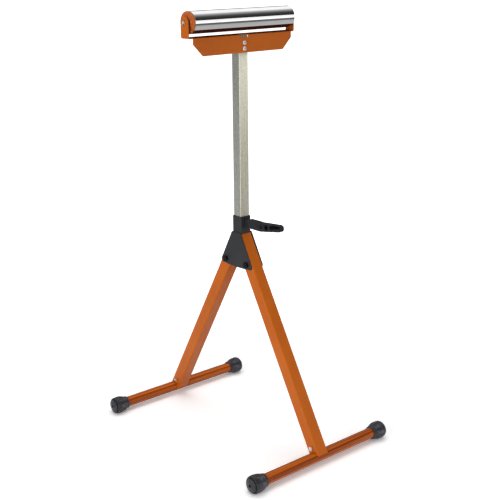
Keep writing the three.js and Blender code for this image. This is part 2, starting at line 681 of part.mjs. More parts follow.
function lever() {
  const tip = [
    LOCK_Y - LEVER_LENGTH * Math.cos(LEVER_RISE),
    LOCK_Z + LEVER_LENGTH * Math.sin(LEVER_RISE),
  ];
  const root = [LOCK_Y, LOCK_Z];
  const [x0, x1] = [-LEVER_WIDTH / 2, LEVER_WIDTH / 2];
  const clearR = BRACKET_R + LEVER_RUN_GAP;
  const clear = barX(clearR, x0 - CUT_OVER, x1 + CUT_OVER, ...root, FINE);
  let grip = prismX(taperedOutline(tip, LEVER_TIP_R, root, LEVER_ROOT_R), x0, x1);
  grip = grip.subtract(clear);

  const between = (distance) => [
    THREE.MathUtils.lerp(root[0], tip[0], distance / LEVER_LENGTH),
    THREE.MathUtils.lerp(root[1], tip[1], distance / LEVER_LENGTH),
  ];
  // in each flank a round recess near the root, and a long shallow pocket with a deeper slot
  const pocketR = LEVER_TIP_R - LEVER_POCKET_RIM;
  const pocket = taperedOutline(tip, pocketR, between(LEVER_POCKET_AT), pocketR + SEAT_GAP);
  const slotR = LEVER_SLOT_HEIGHT / 2;
  const slotInner = between(LEVER_LENGTH - LEVER_SLOT_LENGTH + LEVER_SLOT_HEIGHT);
  const slot = taperedOutline(tip, slotR, slotInner, slotR);
  const dish = between(LEVER_DISH_AT);
  for (const [flank, inward] of [[x0, 1], [x1, -1]]) {
    const downTo = (depth) => ordered(flank - inward * CUT_OVER, flank + inward * depth);
    grip = grip
      .subtract(prismX(pocket, ...downTo(LEVER_POCKET_DEPTH)))
      .subtract(prismX(slot, ...downTo(LEVER_SLOT_DEPTH)))
      .subtract(barX(LEVER_DISH_R, ...downTo(LEVER_DISH_DEPTH), ...dish, MEDIUM));
  }

  // a small notch across the lower edge
  const [notchY, notchZ] = between(LEVER_NOTCH_AT);
  const notchShare = LEVER_NOTCH_AT / LEVER_LENGTH;
  const notchDrop = THREE.MathUtils.lerp(LEVER_ROOT_R, LEVER_TIP_R, notchShare);
  const notchCentre = [
    notchY - notchDrop * Math.sin(LEVER_RISE),
    notchZ - notchDrop * Math.cos(LEVER_RISE),
  ];
  grip = grip.subtract(
    barX(LEVER_NOTCH_R, x0 - CUT_OVER, x1 + CUT_OVER, ...notchCentre, COARSE),
  );

  // the tongue between the bracket's sides, and the cam that pushes the plunger
  const t0 = -BRACKET_SLOT / 2 + SLIDE_GAP;
  const t1 = BRACKET_SLOT / 2 - 2 * SLIDE_GAP - SPRING_THICK;
  const reach = between(clearR + CUT_OVER);
  const webR = LEVER_TIP_R;
  const tongue = prismX(taperedOutline(reach, webR, root, webR), t0, t1);
  const cam = barX(CAM_R, t0, t1, LOCK_Y + CAM_OUT, LOCK_Z + CAM_UP, MEDIUM);
  const pinHole = barX(LEVER_PIN_R + SEAT_GAP, x0 - CUT_OVER, x1 + CUT_OVER, ...root, COARSE);
  return grip.add(tongue).add(cam).subtract(pinHole);
}

function leverPin() {
  const left = -BRACKET_WIDTH / 2 - SEAT_GAP;
  const right = BRACKET_WIDTH / 2 + 2 * SEAT_GAP + 2 * CLIP_THICK;
  const head = barX(LEVER_PIN_HEAD_R, left - LEVER_PIN_HEAD_H, left, LOCK_Y, LOCK_Z, COARSE);
  return head.add(barX(LEVER_PIN_R, left - LEVER_PIN_HEAD_H / 2, right, LOCK_Y, LOCK_Z, COARSE));
}

piece("lever_bracket", leverBracket(), BLACK_PLASTIC);
piece("lever", lever(), BLACK_PLASTIC);
piece("lever_pin", leverPin(), BLACK_STEEL);
const clipX = BRACKET_WIDTH / 2 + SEAT_GAP;
const clip = [LEVER_PIN_R + SEAT_GAP, CLIP_R, clipX, clipX + CLIP_THICK];
piece("lever_pin_clip", ringX(...clip, LOCK_Y, LOCK_Z, COARSE), STEEL);
const springX = BRACKET_SLOT / 2 - SLIDE_GAP;
const spring = [LEVER_PIN_R + SEAT_GAP, SPRING_R, springX - SPRING_THICK, springX];
piece("lever_spring", ringX(...spring, LOCK_Y, LOCK_Z, COARSE), STEEL);

const facingBackY = PLUNGER_FRONT_Y - FACING_LENGTH;
const facing = barY(PLUNGER_R, facingBackY, PLUNGER_FRONT_Y, 0, LOCK_Z, COARSE);
const plungerEnds = [CAM_FRONT_Y + SEAT_GAP, facingBackY - SEAT_GAP];
piece("brake_facing", facing, RUBBER);
piece("brake_plunger", barY(PLUNGER_R, ...plungerEnds, 0, LOCK_Z, COARSE), STEEL);

// Legs, cross tubes and end caps; side is -1 in front and +1 behind

function alongLeg(geometry, side) {
  return geometry.rotateX(side * LEG_TILT).translate(0, side * TUBE_Y, TUBE_Z);
}

// A point on the leg's middle line, given as the distance up from the cross tube's axis
const onLeg = (side, up) => [
  side * (TUBE_Y - up * Math.sin(LEG_TILT)),
  TUBE_Z + up * Math.cos(LEG_TILT),
];

function saddle(side) {
  return barX(TUBE_R + SEAT_GAP, -STOCK_SIDE, STOCK_SIDE, side * TUBE_Y, TUBE_Z, FINE);
}

function legTube(side) {
  const mitreY = STOCK_HALF + SEAT_GAP;
  const length = (TUBE_Y + STOCK_SIDE) / Math.sin(LEG_TILT);
  const stock = squareTube(STOCK_SIDE, STOCK_WALL, STOCK_CORNER, length);
  const beyondY = ordered(-side * TUBE_Y, side * mitreY);
  const beyond = box(-STOCK_SIDE, STOCK_SIDE, ...beyondY, 0, TUBE_Z + length);
  const pivotHole = [BUSH_R + SEAT_GAP, -STOCK_SIDE, STOCK_SIDE];
  const boltHole = [M6.shank + SEAT_GAP, -STOCK_SIDE, STOCK_SIDE];
  return solid(alongLeg(stock, side))
    .subtract(beyond)
    .subtract(saddle(side))
    .subtract(barX(...pivotHole, side * PIVOT_Y, PIVOT_HEIGHT, COARSE))
    .subtract(barX(...boltHole, ...onLeg(side, FOOT_BOLT_UP), COARSE));
}

function legSpigot(side) {
  const outside = STOCK_SIDE - 2 * (STOCK_WALL + SEAT_GAP);
  const stock = squareTube(outside, SPIGOT_WALL, STOCK_CORNER, SPIGOT_LENGTH);
  const boltHole = [M6.shank + SEAT_GAP, -STOCK_SIDE, STOCK_SIDE];
  return solid(alongLeg(stock, side))
    .subtract(saddle(side))
    .subtract(barX(...boltHole, ...onLeg(side, FOOT_BOLT_UP), COARSE));
}

function endCap(y, end) {
  const boreR = TUBE_R + SEAT_GAP;
  const neckR = boreR + CAP_WALL;
  const length = CAP_SOCKET + SEAT_GAP + CAP_END;
  const neckX = TUBE_LENGTH / 2 - CAP_SOCKET;
  const faceAt = length - CAP_DOME;
  const swell = new THREE.CubicBezierCurve(
    new THREE.Vector2(neckR, 0),
    new THREE.Vector2(neckR + CAP_WALL, CAP_BULB_AT / 3),
    new THREE.Vector2(CAP_BULB_R, (2 * CAP_BULB_AT) / 3),
    new THREE.Vector2(CAP_BULB_R, CAP_BULB_AT),
  );
  const edge = new THREE.QuadraticBezierCurve(
    new THREE.Vector2(CAP_BULB_R, CAP_BULB_AT),
    new THREE.Vector2(CAP_BULB_R, faceAt - CAP_DOME / 2),
    new THREE.Vector2(CAP_FACE_R, faceAt),
  );
  const outside = [...swell.getPoints(6), ...edge.getPoints(4).slice(1)];
  const profile = [
    [0, CAP_SOCKET + SEAT_GAP],
    [boreR, CAP_SOCKET + SEAT_GAP],
    [boreR, 0],
    ...outside.map((point) => [point.x, point.y]),
    [CAP_FLAT_R, length],
    [CAP_HOLE_R, length],
    [CAP_HOLE_R, length - CAP_HOLE_DEPTH],
    [0, length - CAP_HOLE_DEPTH],
  ];
  const placed = profile.map(([r, along]) => [r, end * (neckX + along)]);
  const body = turned(end > 0 ? placed : placed.reverse(), y, TUBE_Z, MEDIUM);
  const floor = box(-TUBE_LENGTH, TUBE_LENGTH, y - TUBE_DIA, y + TUBE_DIA, -CAP_BULB_R, 0);
  return body.subtract(floor);
}

function leg(place, side) {
  const y = side * TUBE_Y;
  piece(`leg_${place}`, legTube(side), ORANGE);
  piece(`leg_spigot_${place}`, legSpigot(side), STEEL);
  const tubeEnds = [-TUBE_LENGTH / 2, TUBE_LENGTH / 2];
  const crossTube = ringX(TUBE_R - TUBE_WALL, TUBE_R, ...tubeEnds, y, TUBE_Z, MEDIUM);
  piece(`cross_tube_${place}`, crossTube, ORANGE);
  const at = onLeg(side, FOOT_BOLT_UP);
  const seat = STOCK_HALF + SEAT_GAP;
  const boltEnd = seat + M6.nut + THREAD_PAST_NUT;
  piece(`foot_bolt_${place}`, boltX(M6, -seat, boltEnd, ...at), STEEL);
  piece(`foot_nut_${place}`, nutX(M6, seat, ...at), STEEL);
  piece(`end_cap_${place}_left`, endCap(y, -1), RUBBER);
  piece(`end_cap_${place}_right`, endCap(y, 1), RUBBER);
}

leg("front", -1);
leg("rear", 1);

export default group;
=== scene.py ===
# %% [markdown]
# # A folding roller stand
# The measured model comes in first and stays where it is: every piece made below sits on it.
# All lengths here are metres, X runs along the roller, -Y is the lever's side and +Z is up.
# Each step says what a piece is on the real stand, then makes it or finishes it.

# %% Load the measured model
import json
import math
import bmesh
import bpy
from mathutils import Matrix, Vector
from mathutils.geometry import interpolate_bezier


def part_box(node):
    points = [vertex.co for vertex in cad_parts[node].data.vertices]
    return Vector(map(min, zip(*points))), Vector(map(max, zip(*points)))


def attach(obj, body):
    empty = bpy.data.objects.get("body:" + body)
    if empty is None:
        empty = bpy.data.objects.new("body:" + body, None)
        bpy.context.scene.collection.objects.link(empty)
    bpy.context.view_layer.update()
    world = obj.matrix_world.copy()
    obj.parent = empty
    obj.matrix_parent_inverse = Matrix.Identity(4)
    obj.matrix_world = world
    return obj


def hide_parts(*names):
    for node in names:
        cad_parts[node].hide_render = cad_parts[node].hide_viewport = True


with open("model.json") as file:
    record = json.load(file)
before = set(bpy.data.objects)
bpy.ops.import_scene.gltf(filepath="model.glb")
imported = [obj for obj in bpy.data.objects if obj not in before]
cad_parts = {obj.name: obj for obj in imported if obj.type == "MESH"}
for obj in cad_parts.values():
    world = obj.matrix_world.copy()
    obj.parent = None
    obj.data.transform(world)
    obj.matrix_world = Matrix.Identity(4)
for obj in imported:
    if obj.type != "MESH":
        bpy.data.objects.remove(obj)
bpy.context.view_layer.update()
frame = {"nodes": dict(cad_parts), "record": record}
body_of = {
    node: body
    for body, nodes in frame["record"]["behaviour"]["bodies"].items()
    for node in nodes
}

# %% [markdown]
# ## The camera
# The stand was seen from the front left and a little above, with a long lens from about 2.5 m.
# A camera can be aimed by eye or by a constraint. Here its three directions are written down,
# because the picture is also rolled by half a degree, which a plain aim would lose.

# %% Camera
TURN = math.radians(40.6)
PITCH = math.radians(16.505)
ROLL = math.radians(-0.512)
CAMERA_AT = (-1.4589, -1.7309, 1.1169)
SENSOR_WIDTH = 36
PICTURE_WIDTH = 500
FOCAL_LENGTH = 1013.0  # in pixels of a picture that wide
flat_ahead = Vector((math.sin(TURN), math.cos(TURN), 0))
ahead = flat_ahead * math.cos(PITCH) - Vector((0, 0, math.sin(PITCH)))
level = Vector((math.cos(TURN), -math.sin(TURN), 0))
upright = level.cross(ahead)
across = level * math.cos(ROLL) + upright * math.sin(ROLL)
upward = upright * math.cos(ROLL) - level * math.sin(ROLL)
lens = bpy.data.cameras.new("camera")
lens.sensor_width = SENSOR_WIDTH
lens.lens = SENSOR_WIDTH * FOCAL_LENGTH / PICTURE_WIDTH
camera = bpy.data.objects.new("camera", lens)
bpy.context.scene.collection.objects.link(camera)
directions = Matrix((across, upward, -ahead)).transposed().to_4x4()
camera.matrix_world = Matrix.Translation(CAMERA_AT) @ directions
bpy.context.scene.camera = camera
print("camera", tuple(round(c, 3) for c in camera.location), "lens", round(lens.lens, 2))

# %% [markdown]
# ## Colours
# A colour is easiest to name as a picture shows it, with numbers from 0 to 255. Blender mixes light
# in linear numbers instead, so that two lamps add up as they do in a room. Its colour picker converts
# by itself, but a script has to do it, and this short function is that conversion.

# %% Colours
def srgb(red, green, blue):
    """A colour as read from a picture, in the linear numbers that Blender mixes."""
    shares = [c / 255 for c in (red, green, blue)]
    return (*[((c + 0.055) / 1.055) ** 2.4 if c > 0.04 else c / 12.92 for c in shares], 1)


print("the middle grey 128 is", round(srgb(128, 128, 128)[0], 3), "in linear numbers")

# %% [markdown]
# ## Grain and gloss
# A finish here is a Principled shader with three small patterns on it: a broad one that shifts the
# colour a little, a middle one that changes the gloss, and a fine one that moves the surface.
# An image could do this too, but noise in Object coordinates needs no unwrapping and stays with
# its piece when the piece moves.

# %% Helpers for the finishes
NOISE_SPAN = (0.3, 0.7)  # nearly all of a noise pattern lies between these
WEAR_PATCHES = 160  # to the metre
WEAR_SPAN = (0.42, 0.62)


def spread_range(tree, value, span, result):
    """Spreads the part of a value that lies in span over the range of the result."""
    spread = tree.nodes.new("ShaderNodeMapRange")
    for socket, number in zip(("From Min", "From Max", "To Min", "To Max"), (*span, *result)):
        spread.inputs[socket].default_value = number
    tree.links.new(value, spread.inputs["Value"])
    return spread.outputs["Result"]


def maths(tree, operation, *values):
    """A Math node. Each value is a number, or what another node puts out."""
    sum_up = tree.nodes.new("ShaderNodeMath")
    sum_up.operation = operation
    for socket, value in zip(sum_up.inputs, values):
        if isinstance(value, float):
            socket.default_value = value
        else:
            tree.links.new(value, socket)
    return sum_up.outputs["Value"]


class Finish:
    """One material, and the nodes that are added to it."""

    def __init__(self, name, metallic=0.0):
        self.material = bpy.data.materials.new(name)
        self.material.use_nodes = True
        self.tree = self.material.node_tree
        self.shader = self.tree.nodes["Principled BSDF"]
        self.shader.inputs["Metallic"].default_value = metallic
        self.place = self.tree.nodes.new("ShaderNodeTexCoord").outputs["Object"]

    def node(self, kind, **inputs):
        made = self.tree.nodes.new(kind)
        for socket, value in inputs.items():
            made.inputs[socket].default_value = value
        return made

    def join(self, output, socket):
        self.tree.links.new(output, socket)

    def noise(self, scale, stretch=(1, 1, 1), detail=3.0, roughness=0.5):
        """Noise with this many lumps to the metre, stretched out where stretch is under 1."""
        spread = self.node("ShaderNodeMapping", Scale=stretch)
        self.join(self.place, spread.inputs["Vector"])
        grain = self.node("ShaderNodeTexNoise", Scale=scale, Detail=detail, Roughness=roughness)
        self.join(spread.outputs["Vector"], grain.inputs["Vector"])
        return grain.outputs["Fac"]

    def tint(self, pattern, low, high, span=NOISE_SPAN):
        """Colour that runs from low to high as the pattern does."""
        ramp = self.node("ShaderNodeValToRGB")
        for stop, position, colour in zip(ramp.color_ramp.elements, span, (low, high)):
            stop.position = position
            stop.color = colour
        self.join(pattern, ramp.inputs["Fac"])
        return ramp.outputs["Color"]

    def gloss(self, pattern, low, high):
        """Roughness between low and high."""
        spread = spread_range(self.tree, pattern, NOISE_SPAN, (low, high))
        self.join(spread, self.shader.inputs["Roughness"])

    def relief(self, *layers):
        """Bump from (pattern, height in metres) layers, one on the other."""
        under = None
        for pattern, height in layers:
            bump = self.node("ShaderNodeBump", Strength=1.0, Distance=height)
            self.join(pattern, bump.inputs["Height"])
            if under:
                self.join(under, bump.inputs["Normal"])
            under = bump.outputs["Normal"]
        self.join(under, self.shader.inputs["Normal"])

    def wear_and_sheen(self, colour, bare, amount):
        """Where the piece's own 'edge' attribute says a corner, the colour goes some way to bare."""
        edge = self.node("ShaderNodeAttribute")
        edge.attribute_name = "edge"
        patch = self.noise(WEAR_PATCHES, detail=5.0, roughness=0.7)
        reach = spread_range(self.tree, patch, WEAR_SPAN, (0, amount))
        share = maths(self.tree, "MULTIPLY", edge.outputs["Fac"], reach)
        mixed = self.node("ShaderNodeMix")
        mixed.data_type = "RGBA"
        colour_in = [s for s in mixed.inputs if s.type == "RGBA"]
        colour_in[1].default_value = bare
        self.join(share, mixed.inputs["Factor"])
        self.join(colour, colour_in[0])
        return [s for s in mixed.outputs if s.type == "RGBA"][0]

    def colour(self, output):
        self.join(output, self.shader.inputs["Base Color"])


print("finish helpers ready")

# %% [markdown]
# ## Orange powder coat
# Legs, cross tubes and the roller's cradle are sprayed with powder and baked. Such a coat is never
# quite flat: it has a fine orange-peel ripple about a millimetre across, and it thins on sharp
# edges, where it looks paler. The ripple is too fine for a mesh, so it is bump. The pale edges could
# be painted by hand, but an attribute, which the rounding step further down leaves on each rounded
# edge, puts them in the right place by itself. The round tubes get light and dark lengthwise streaks
# in their colour, from noise stretched along X: a painted reflection of the bands a glossy tube
# mirrors, and with their darker orange a painted shade as well. Their coat is also smoother. The
# floor of the cradle's fold, under the roller, gets a dark, dull orange: painted shade, where the
# roller keeps the light off.

# %% Orange powder coat
# lumps to the metre, from the broadest pattern to the finest
MOTTLE, GLOSS_PATCHES, TUBE_STREAKS, RIPPLES, FINE_RIPPLES = 9, 60, 210, 620, 2600
ALONG_TUBE = (0.01, 1, 1)
COAT_WEAR = 0.55


def powder_coat(name, low, high, edge, rough, peel=0.00012, shine=0.19, streaked=False):
    """Powder coat between two colours, with ripples as high as peel, in metres."""
    coat = Finish(name)
    # A streaked coat gets light and dark lengthwise streaks in its colour: a painted reflection of the
    # bands a glossy tube mirrors.
    if streaked:
        streaks = coat.noise(TUBE_STREAKS, ALONG_TUBE, detail=1.0)
        body = coat.tint(streaks, low, high, (0.36, 0.64))
    else:
        body = coat.tint(coat.noise(MOTTLE, detail=4.0), low, high)
    coat.colour(coat.wear_and_sheen(body, edge, COAT_WEAR))
    coat.gloss(coat.noise(GLOSS_PATCHES, detail=4.0), *rough)
    ripples, fine_ripples = coat.noise(RIPPLES, detail=1.0), coat.noise(FINE_RIPPLES, detail=1.0)
    coat.relief((ripples, peel), (fine_ripples, peel / 4))
    coat.shader.inputs["Specular IOR Level"].default_value = shine
    return coat.material


ORANGE_LOW, ORANGE_HIGH, ORANGE_EDGE = srgb(192, 94, 13), srgb(202, 102, 18), srgb(216, 128, 52)
orange_coat = powder_coat("orange_powder_coat", ORANGE_LOW, ORANGE_HIGH, ORANGE_EDGE, (0.3, 0.42))
# The cross tubes: darker and streaked, as painted reflection and painted shade.
tube_coat = powder_coat(
    "orange_tube_coat", srgb(138, 58, 6), srgb(204, 102, 18), ORANGE_EDGE, (0.16, 0.26),
    peel=0.00002, shine=0.2, streaked=True,
)
# Painted shade: a dark, dull orange for the floor of the cradle's fold, where the roller keeps the
# light off.
fold_shade_coat = powder_coat(
    "painted_shade_orange", srgb(58, 16, 5), srgb(74, 22, 7), ORANGE_EDGE, (0.5, 0.65), shine=0.1
)
print("made", orange_coat.name, tube_coat.name, fold_shade_coat.name)

# %% [markdown]
# ## Charcoal paint
# Sleeve and cheek plates wear a dull charcoal paint. It is the same kind of coat with another
# colour and less gloss, so the same recipe serves.

# %% Charcoal paint
charcoal_coat = powder_coat(
    "charcoal_paint", srgb(46, 46, 47), srgb(56, 56, 57), srgb(68, 68, 69), (0.42, 0.58)
)
print("made", charcoal_coat.name)

# %% [markdown]
# ## Chrome
# The roller is chromed and polished round its axis, so its faint marks run round it. An anisotropic
# shader can show such marks too, but it smears every reflection one way. Noise that is stretched
# round the roller, in gloss and bump, keeps the reflections sharp and only breaks them up a little.

# %% Chrome
def chrome():
    skin = Finish("polished_chrome", 1.0)
    skin.colour(skin.tint(skin.noise(25), srgb(243, 244, 245), srgb(251, 251, 252)))
    rings = skin.noise(2200, (1, 0.004, 0.004), detail=2.0)
    skin.gloss(rings, 0.035, 0.085)
    skin.relief((rings, 0.0000012), (skin.noise(14), 0.00003))
    return skin.material


chrome_skin = chrome()
print("made", chrome_skin.name)

# %% [markdown]
# ## Zinc
# The post is zinc-coated and was drawn through a die. Its marks run along it, over the faint
# crystals that zinc forms as it cools. Two separate colour patterns would look like two layers, so
# the crystals, from a Voronoi texture, are added to the stretched noise before both give the colour.

# %% Zinc coat
SPANGLES = 130.0
SPANGLE_SHARE = 0.22


def zinc_coat():
    skin = Finish("zinc_coated_tube", 0.92)
    spangle = skin.node("ShaderNodeTexVoronoi", Scale=SPANGLES)
    skin.join(skin.place, spangle.inputs["Vector"])
    streaked = skin.noise(900, (1, 1, 0.012), detail=3.0)
    both = maths(skin.tree, "MULTIPLY_ADD", spangle.outputs["Distance"], SPANGLE_SHARE, streaked)
    pale, paler = srgb(208, 206, 190), srgb(236, 231, 211)
    skin.colour(skin.tint(both, pale, paler, (0.35, 0.85)))
    skin.gloss(skin.noise(300, (1, 1, 0.02), detail=4.0), 0.2, 0.33)
    skin.relief((streaked, 0.000012), (skin.noise(180, detail=2.0), 0.00002))
    return skin.material


zinc_skin = zinc_coat()
print("made", zinc_skin.name)

# %% [markdown]
# ## Small steel pieces
# Nuts are bright zinc, the two button-head screws have a paler, chalkier zinc, and the pivot bolts
# are blackened. Such small pieces show no marks one by one, so a fine even grain is enough, and one
# recipe with other colours and another gloss serves for all three.

# %% Bright, pale and blackened steel
def small_steel(name, metallic, low, high, rough, grain=(420, 900, 1500), shine=0.5):
    """Steel between two colours. The grain gives the lumps to the metre in colour, gloss and bump."""
    skin = Finish(name, metallic)
    skin.colour(skin.tint(skin.noise(grain[0], detail=4.0), low, high))
    skin.gloss(skin.noise(grain[1], detail=4.0), *rough)
    skin.relief((skin.noise(grain[2], detail=2.0), 0.00002))
    skin.shader.inputs["Specular IOR Level"].default_value = shine
    return skin.material


bright_skin = small_steel(
    "bright_zinc_steel", 1.0, srgb(190, 190, 189), srgb(222, 221, 218), (0.2, 0.4)
)
pale_skin = small_steel(
    "pale_zinc_screws", 0.35, srgb(226, 225, 222), srgb(246, 245, 242), (0.42, 0.6)
)
black_skin = small_steel(
    "blackened_steel", 0.2, srgb(14, 14, 15), srgb(26, 25, 25), (0.34, 0.55),
    grain=(500, 700, 1300), shine=0.16,
)
print("made", bright_skin.name, pale_skin.name, black_skin.name)

# %% [markdown]
# ## Plastic and rubber
# The lever and its bracket are moulded from black plastic with a fine spark-eroded grain. The
# roller's end cap is the same plastic in orange. The feet are rubber: duller, with a soft mottling
# from the mould, and paler on their ribs, partly from rubbing and partly as a painted highlight.
# Grain of this size would need millions of faces, so bump carries it. A nearly black, dull mix is
# painted shade for small hollows, where little light gets in.

# %% Plastic and rubber
def moulded_plastic(name, low, high, edge, rough, shine=0.35):
    skin = Finish(name)
    body = skin.tint(skin.noise(35, detail=3.0), low, high)
    skin.colour(skin.wear_and_sheen(body, edge, 0.6))
    skin.gloss(skin.noise(240, detail=3.0), *rough)
    skin.relief((skin.noise(1900, detail=1.0), 0.00006), (skin.noise(120, detail=1.0), 0.00004))
    skin.shader.inputs["Specular IOR Level"].default_value = shine
    return skin.material


def foot_rubber():
    skin = Finish("foot_rubber")
    body = skin.tint(skin.noise(260, detail=6.0, roughness=0.7), srgb(22, 22, 26), srgb(62, 62, 69))
    # Paler rib backs and edges: rubbing, and on the ribs a painted highlight.
    skin.colour(skin.wear_and_sheen(body, srgb(108, 108, 117), 0.75))
    skin.gloss(skin.noise(90, detail=4.0), 0.3, 0.46)
    skin.relief((skin.noise(1100, detail=2.0), 0.00012), (skin.noise(160, detail=2.0), 0.00012))
    skin.shader.inputs["Specular IOR Level"].default_value = 0.3
    return skin.material


lever_plastic = moulded_plastic(
    "black_plastic", srgb(36, 35, 39), srgb(44, 43, 47), srgb(88, 86, 94), (0.36, 0.5), 0.16
)
cap_plastic = moulded_plastic(
    "orange_plastic", srgb(180, 88, 30), srgb(192, 98, 38), srgb(208, 128, 78), (0.38, 0.52)
)
# Painted shade for small hollows: nearly black and dull.
painted_hollow_shade = moulded_plastic(
    "painted_hollow_shade", srgb(9, 9, 10), srgb(14, 14, 15), srgb(20, 20, 21), (0.6, 0.8), 0.03
)
rubber_skin = foot_rubber()
print("made", lever_plastic.name, cap_plastic.name, painted_hollow_shade.name, rubber_skin.name)

# %% [markdown]
# ## From a mesh to a piece
# Every new shape ends the same way: it becomes an object, gets a finish, rides on the body that
# carries it, and hides the measured pieces it stands for. Smooth shading with a limit keeps
# flat faces flat and round ones round, and a Weighted Normal modifier keeps the shine of a large
# flat face from bending towards its small rounded edges.

# %% Helpers for the pieces
def in_scene(bm, name, *finishes):
    """Makes an object of a bmesh, which is then freed."""
    mesh = bpy.data.meshes.new(name)
    bm.to_mesh(mesh)
    bm.free()
    for finish in finishes:
        mesh.materials.append(finish)
    made = bpy.data.objects.new(name, mesh)
    bpy.context.scene.collection.objects.link(made)
    return made


def show(bm, name, finish, nodes, smooth_to=40, second=None):
    """Makes the piece. The second finish goes on faces whose material index was set to 1."""
    piece = in_scene(bm, name, *filter(None, (finish, second)))
    piece.data.shade_smooth()
    piece.data.set_sharp_from_angle(angle=math.radians(smooth_to))
    even = piece.modifiers.new("even_shine", "WEIGHTED_NORMAL")
    even.keep_sharp = True
    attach(piece, body_of[nodes[0]])
    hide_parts(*nodes)
    print(name, "has", len(piece.data.polygons), "faces")
    return piece


# %% [markdown]
# ## Rounded edges
# No real edge is perfectly sharp, and the small round is what catches the light. A Bevel modifier
# could add it at the end. The bevel operator is used instead because it says which faces it made,
# so that they can be marked, and the finishes read that mark as wear.

# %% Rounded edges
def round_edges(bm, width, segments=2, sharper_than=30):
    """Rounds every edge that is sharper than this many degrees, and marks the new faces."""
    mark = bm.faces.layers.float.get("edge") or bm.faces.layers.float.new("edge")
    limit = math.radians(sharper_than)
    sharp = [e for e in bm.edges if len(e.link_faces) == 2 and e.calc_face_angle() > limit]
    made = bmesh.ops.bevel(
        bm, geom=sharp, offset=width, offset_type="OFFSET", affect="EDGES",
        segments=segments, profile=0.5, material=-1, clamp_overlap=True,
    )
    for face in made["faces"]:
        face[mark] = 1.0
    return bm


print("rounding helper ready")

# %% [markdown]
# ## Turned shapes
# Roller, caps, tubes, feet and rings are all round about an axis along X. A lathe cuts such a shape
# from one outline, and the spin operator does the same with a row of edges. A cylinder would have to
# be cut and joined for each step of the outline. Spin can leave a double seam and turn the shape
# inside out, so the seam is merged and the normals are worked out again.

# %% Turned shapes
SAME_POINT = 1e-6


def turned(profile, y, z, steps):
    """A shape turned about an axis along X. The profile is (place along X, distance from the axis)."""
    bm = bmesh.new()
    corners = [bm.verts.new((x, y, z + radius)) for x, radius in profile]
    edges = [bm.edges.new(pair) for pair in zip(corners, corners[1:])]
    bmesh.ops.spin(
        bm, geom=corners + edges, cent=(0, y, z), axis=(1, 0, 0),
        angle=2 * math.pi, steps=steps, use_merge=True,
    )
    bmesh.ops.remove_doubles(bm, verts=bm.verts[:], dist=SAME_POINT)
    bmesh.ops.recalc_face_normals(bm, faces=bm.faces[:])
    return bm


def tube_outline(low, high, hole, radius):
    """The closed outline of a tube's wall, from the lowest to the highest corner along X."""
    return [(low.x, hole), (low.x, radius), (high.x, radius), (high.x, hole), (low.x, hole)]


print("turning helpers ready")

# %% [markdown]
# ## Chromed roller
# The roller is a plain steel tube, chromed and polished. A cylinder with a Solidify modifier could
# stand for it, but spinning one outline gives the tube with its wall and its bore in a single step.
# Chrome shows every facet in its reflections, so the outline is spun in many steps.

# %% Roller tube
low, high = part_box("roller_tube")
ROLLER_RADIUS = (high.z - low.z) / 2
ROLLER_WALL = 0.0018
ROLLER_STEPS = 160
ROLLER_EDGE = 0.0005
axle_z = (high.z + low.z) / 2
outline = tube_outline(low, high, ROLLER_RADIUS - ROLLER_WALL, ROLLER_RADIUS)
tube = round_edges(turned(outline, 0, axle_z, ROLLER_STEPS), ROLLER_EDGE, 3)
show(tube, "polished_roller", chrome_skin, ["roller_tube"])

# %% [markdown]
# ## The roller's end caps
# A plastic cap is pressed into each end of the tube and carries a bearing. The left one stands
# out as an orange ring, the right one is a plug that ends flush. Booleans could hollow them out of
# cylinders, but would leave slivers that do not round well. Both are turned shapes with a dished
# face, so both are spun, and the edges are rounded afterwards as a mould would leave them.

# %% Roller end caps
CAP_SPIGOT = 0.014
CAP_RECESS = 0.0073
CAP_BORE = 0.0055
BEARING_SEAT = 0.0098
HUB = 0.012
DISH = 0.0013
DISH_RIM = 0.0204
CAP_PLAY = 0.0004
FLANGE_GAP = 0.0003
CAP_STEPS = 96
CAP_EDGE = 0.0004


def roller_cap(node, inward, flange):
    low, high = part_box(node)
    radius = (high.z - low.z) / 2
    face = low.x if inward > 0 else high.x
    rim = min(DISH_RIM, radius - DISH)
    spigot = ROLLER_RADIUS - ROLLER_WALL - CAP_PLAY
    shoulder = max(flange, DISH)
    profile = [
        (CAP_RECESS, CAP_BORE), (CAP_RECESS, BEARING_SEAT), (0, BEARING_SEAT), (0, HUB),
        (DISH, HUB + DISH), (DISH, rim - DISH), (0, rim), (0, radius),
        (shoulder, radius), (shoulder, spigot),
        (flange + CAP_SPIGOT, spigot), (flange + CAP_SPIGOT, CAP_BORE), (CAP_RECESS, CAP_BORE),
    ]
    outline = [(face + inward * depth, off_axis) for depth, off_axis in profile]
    bm = round_edges(turned(outline, 0, axle_z, CAP_STEPS), CAP_EDGE)
    return show(bm, node.replace("roller_cap", "bearing_cap"), cap_plastic, [node])


left_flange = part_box("roller_tube")[0].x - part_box("roller_cap_left")[0].x - FLANGE_GAP
roller_cap("roller_cap_left", 1, left_flange)
roller_cap("roller_cap_right", -1, 0)

# %% [markdown]
# ## Cross tubes
# Each leg stands on a round cross tube. A thick curve would look the same from outside, but it has
# no wall. So it is spun like the roller, with a wall and an open bore, and its sharp ends, which sit
# inside the rubber feet, are eased.

# %% Cross tubes
TUBE_WALL = 0.0016
TUBE_STEPS = 96
TUBE_EDGE = 0.0004
for place in ("front", "rear"):
    low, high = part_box(f"cross_tube_{place}")
    radius = (high.z - low.z) / 2
    middle = (low + high) / 2
    outline = tube_outline(low, high, radius - TUBE_WALL, radius)
    tube = round_edges(turned(outline, middle.y, middle.z, TUBE_STEPS), TUBE_EDGE)
    show(tube, f"round_cross_tube_{place}", tube_coat, [f"cross_tube_{place}"])

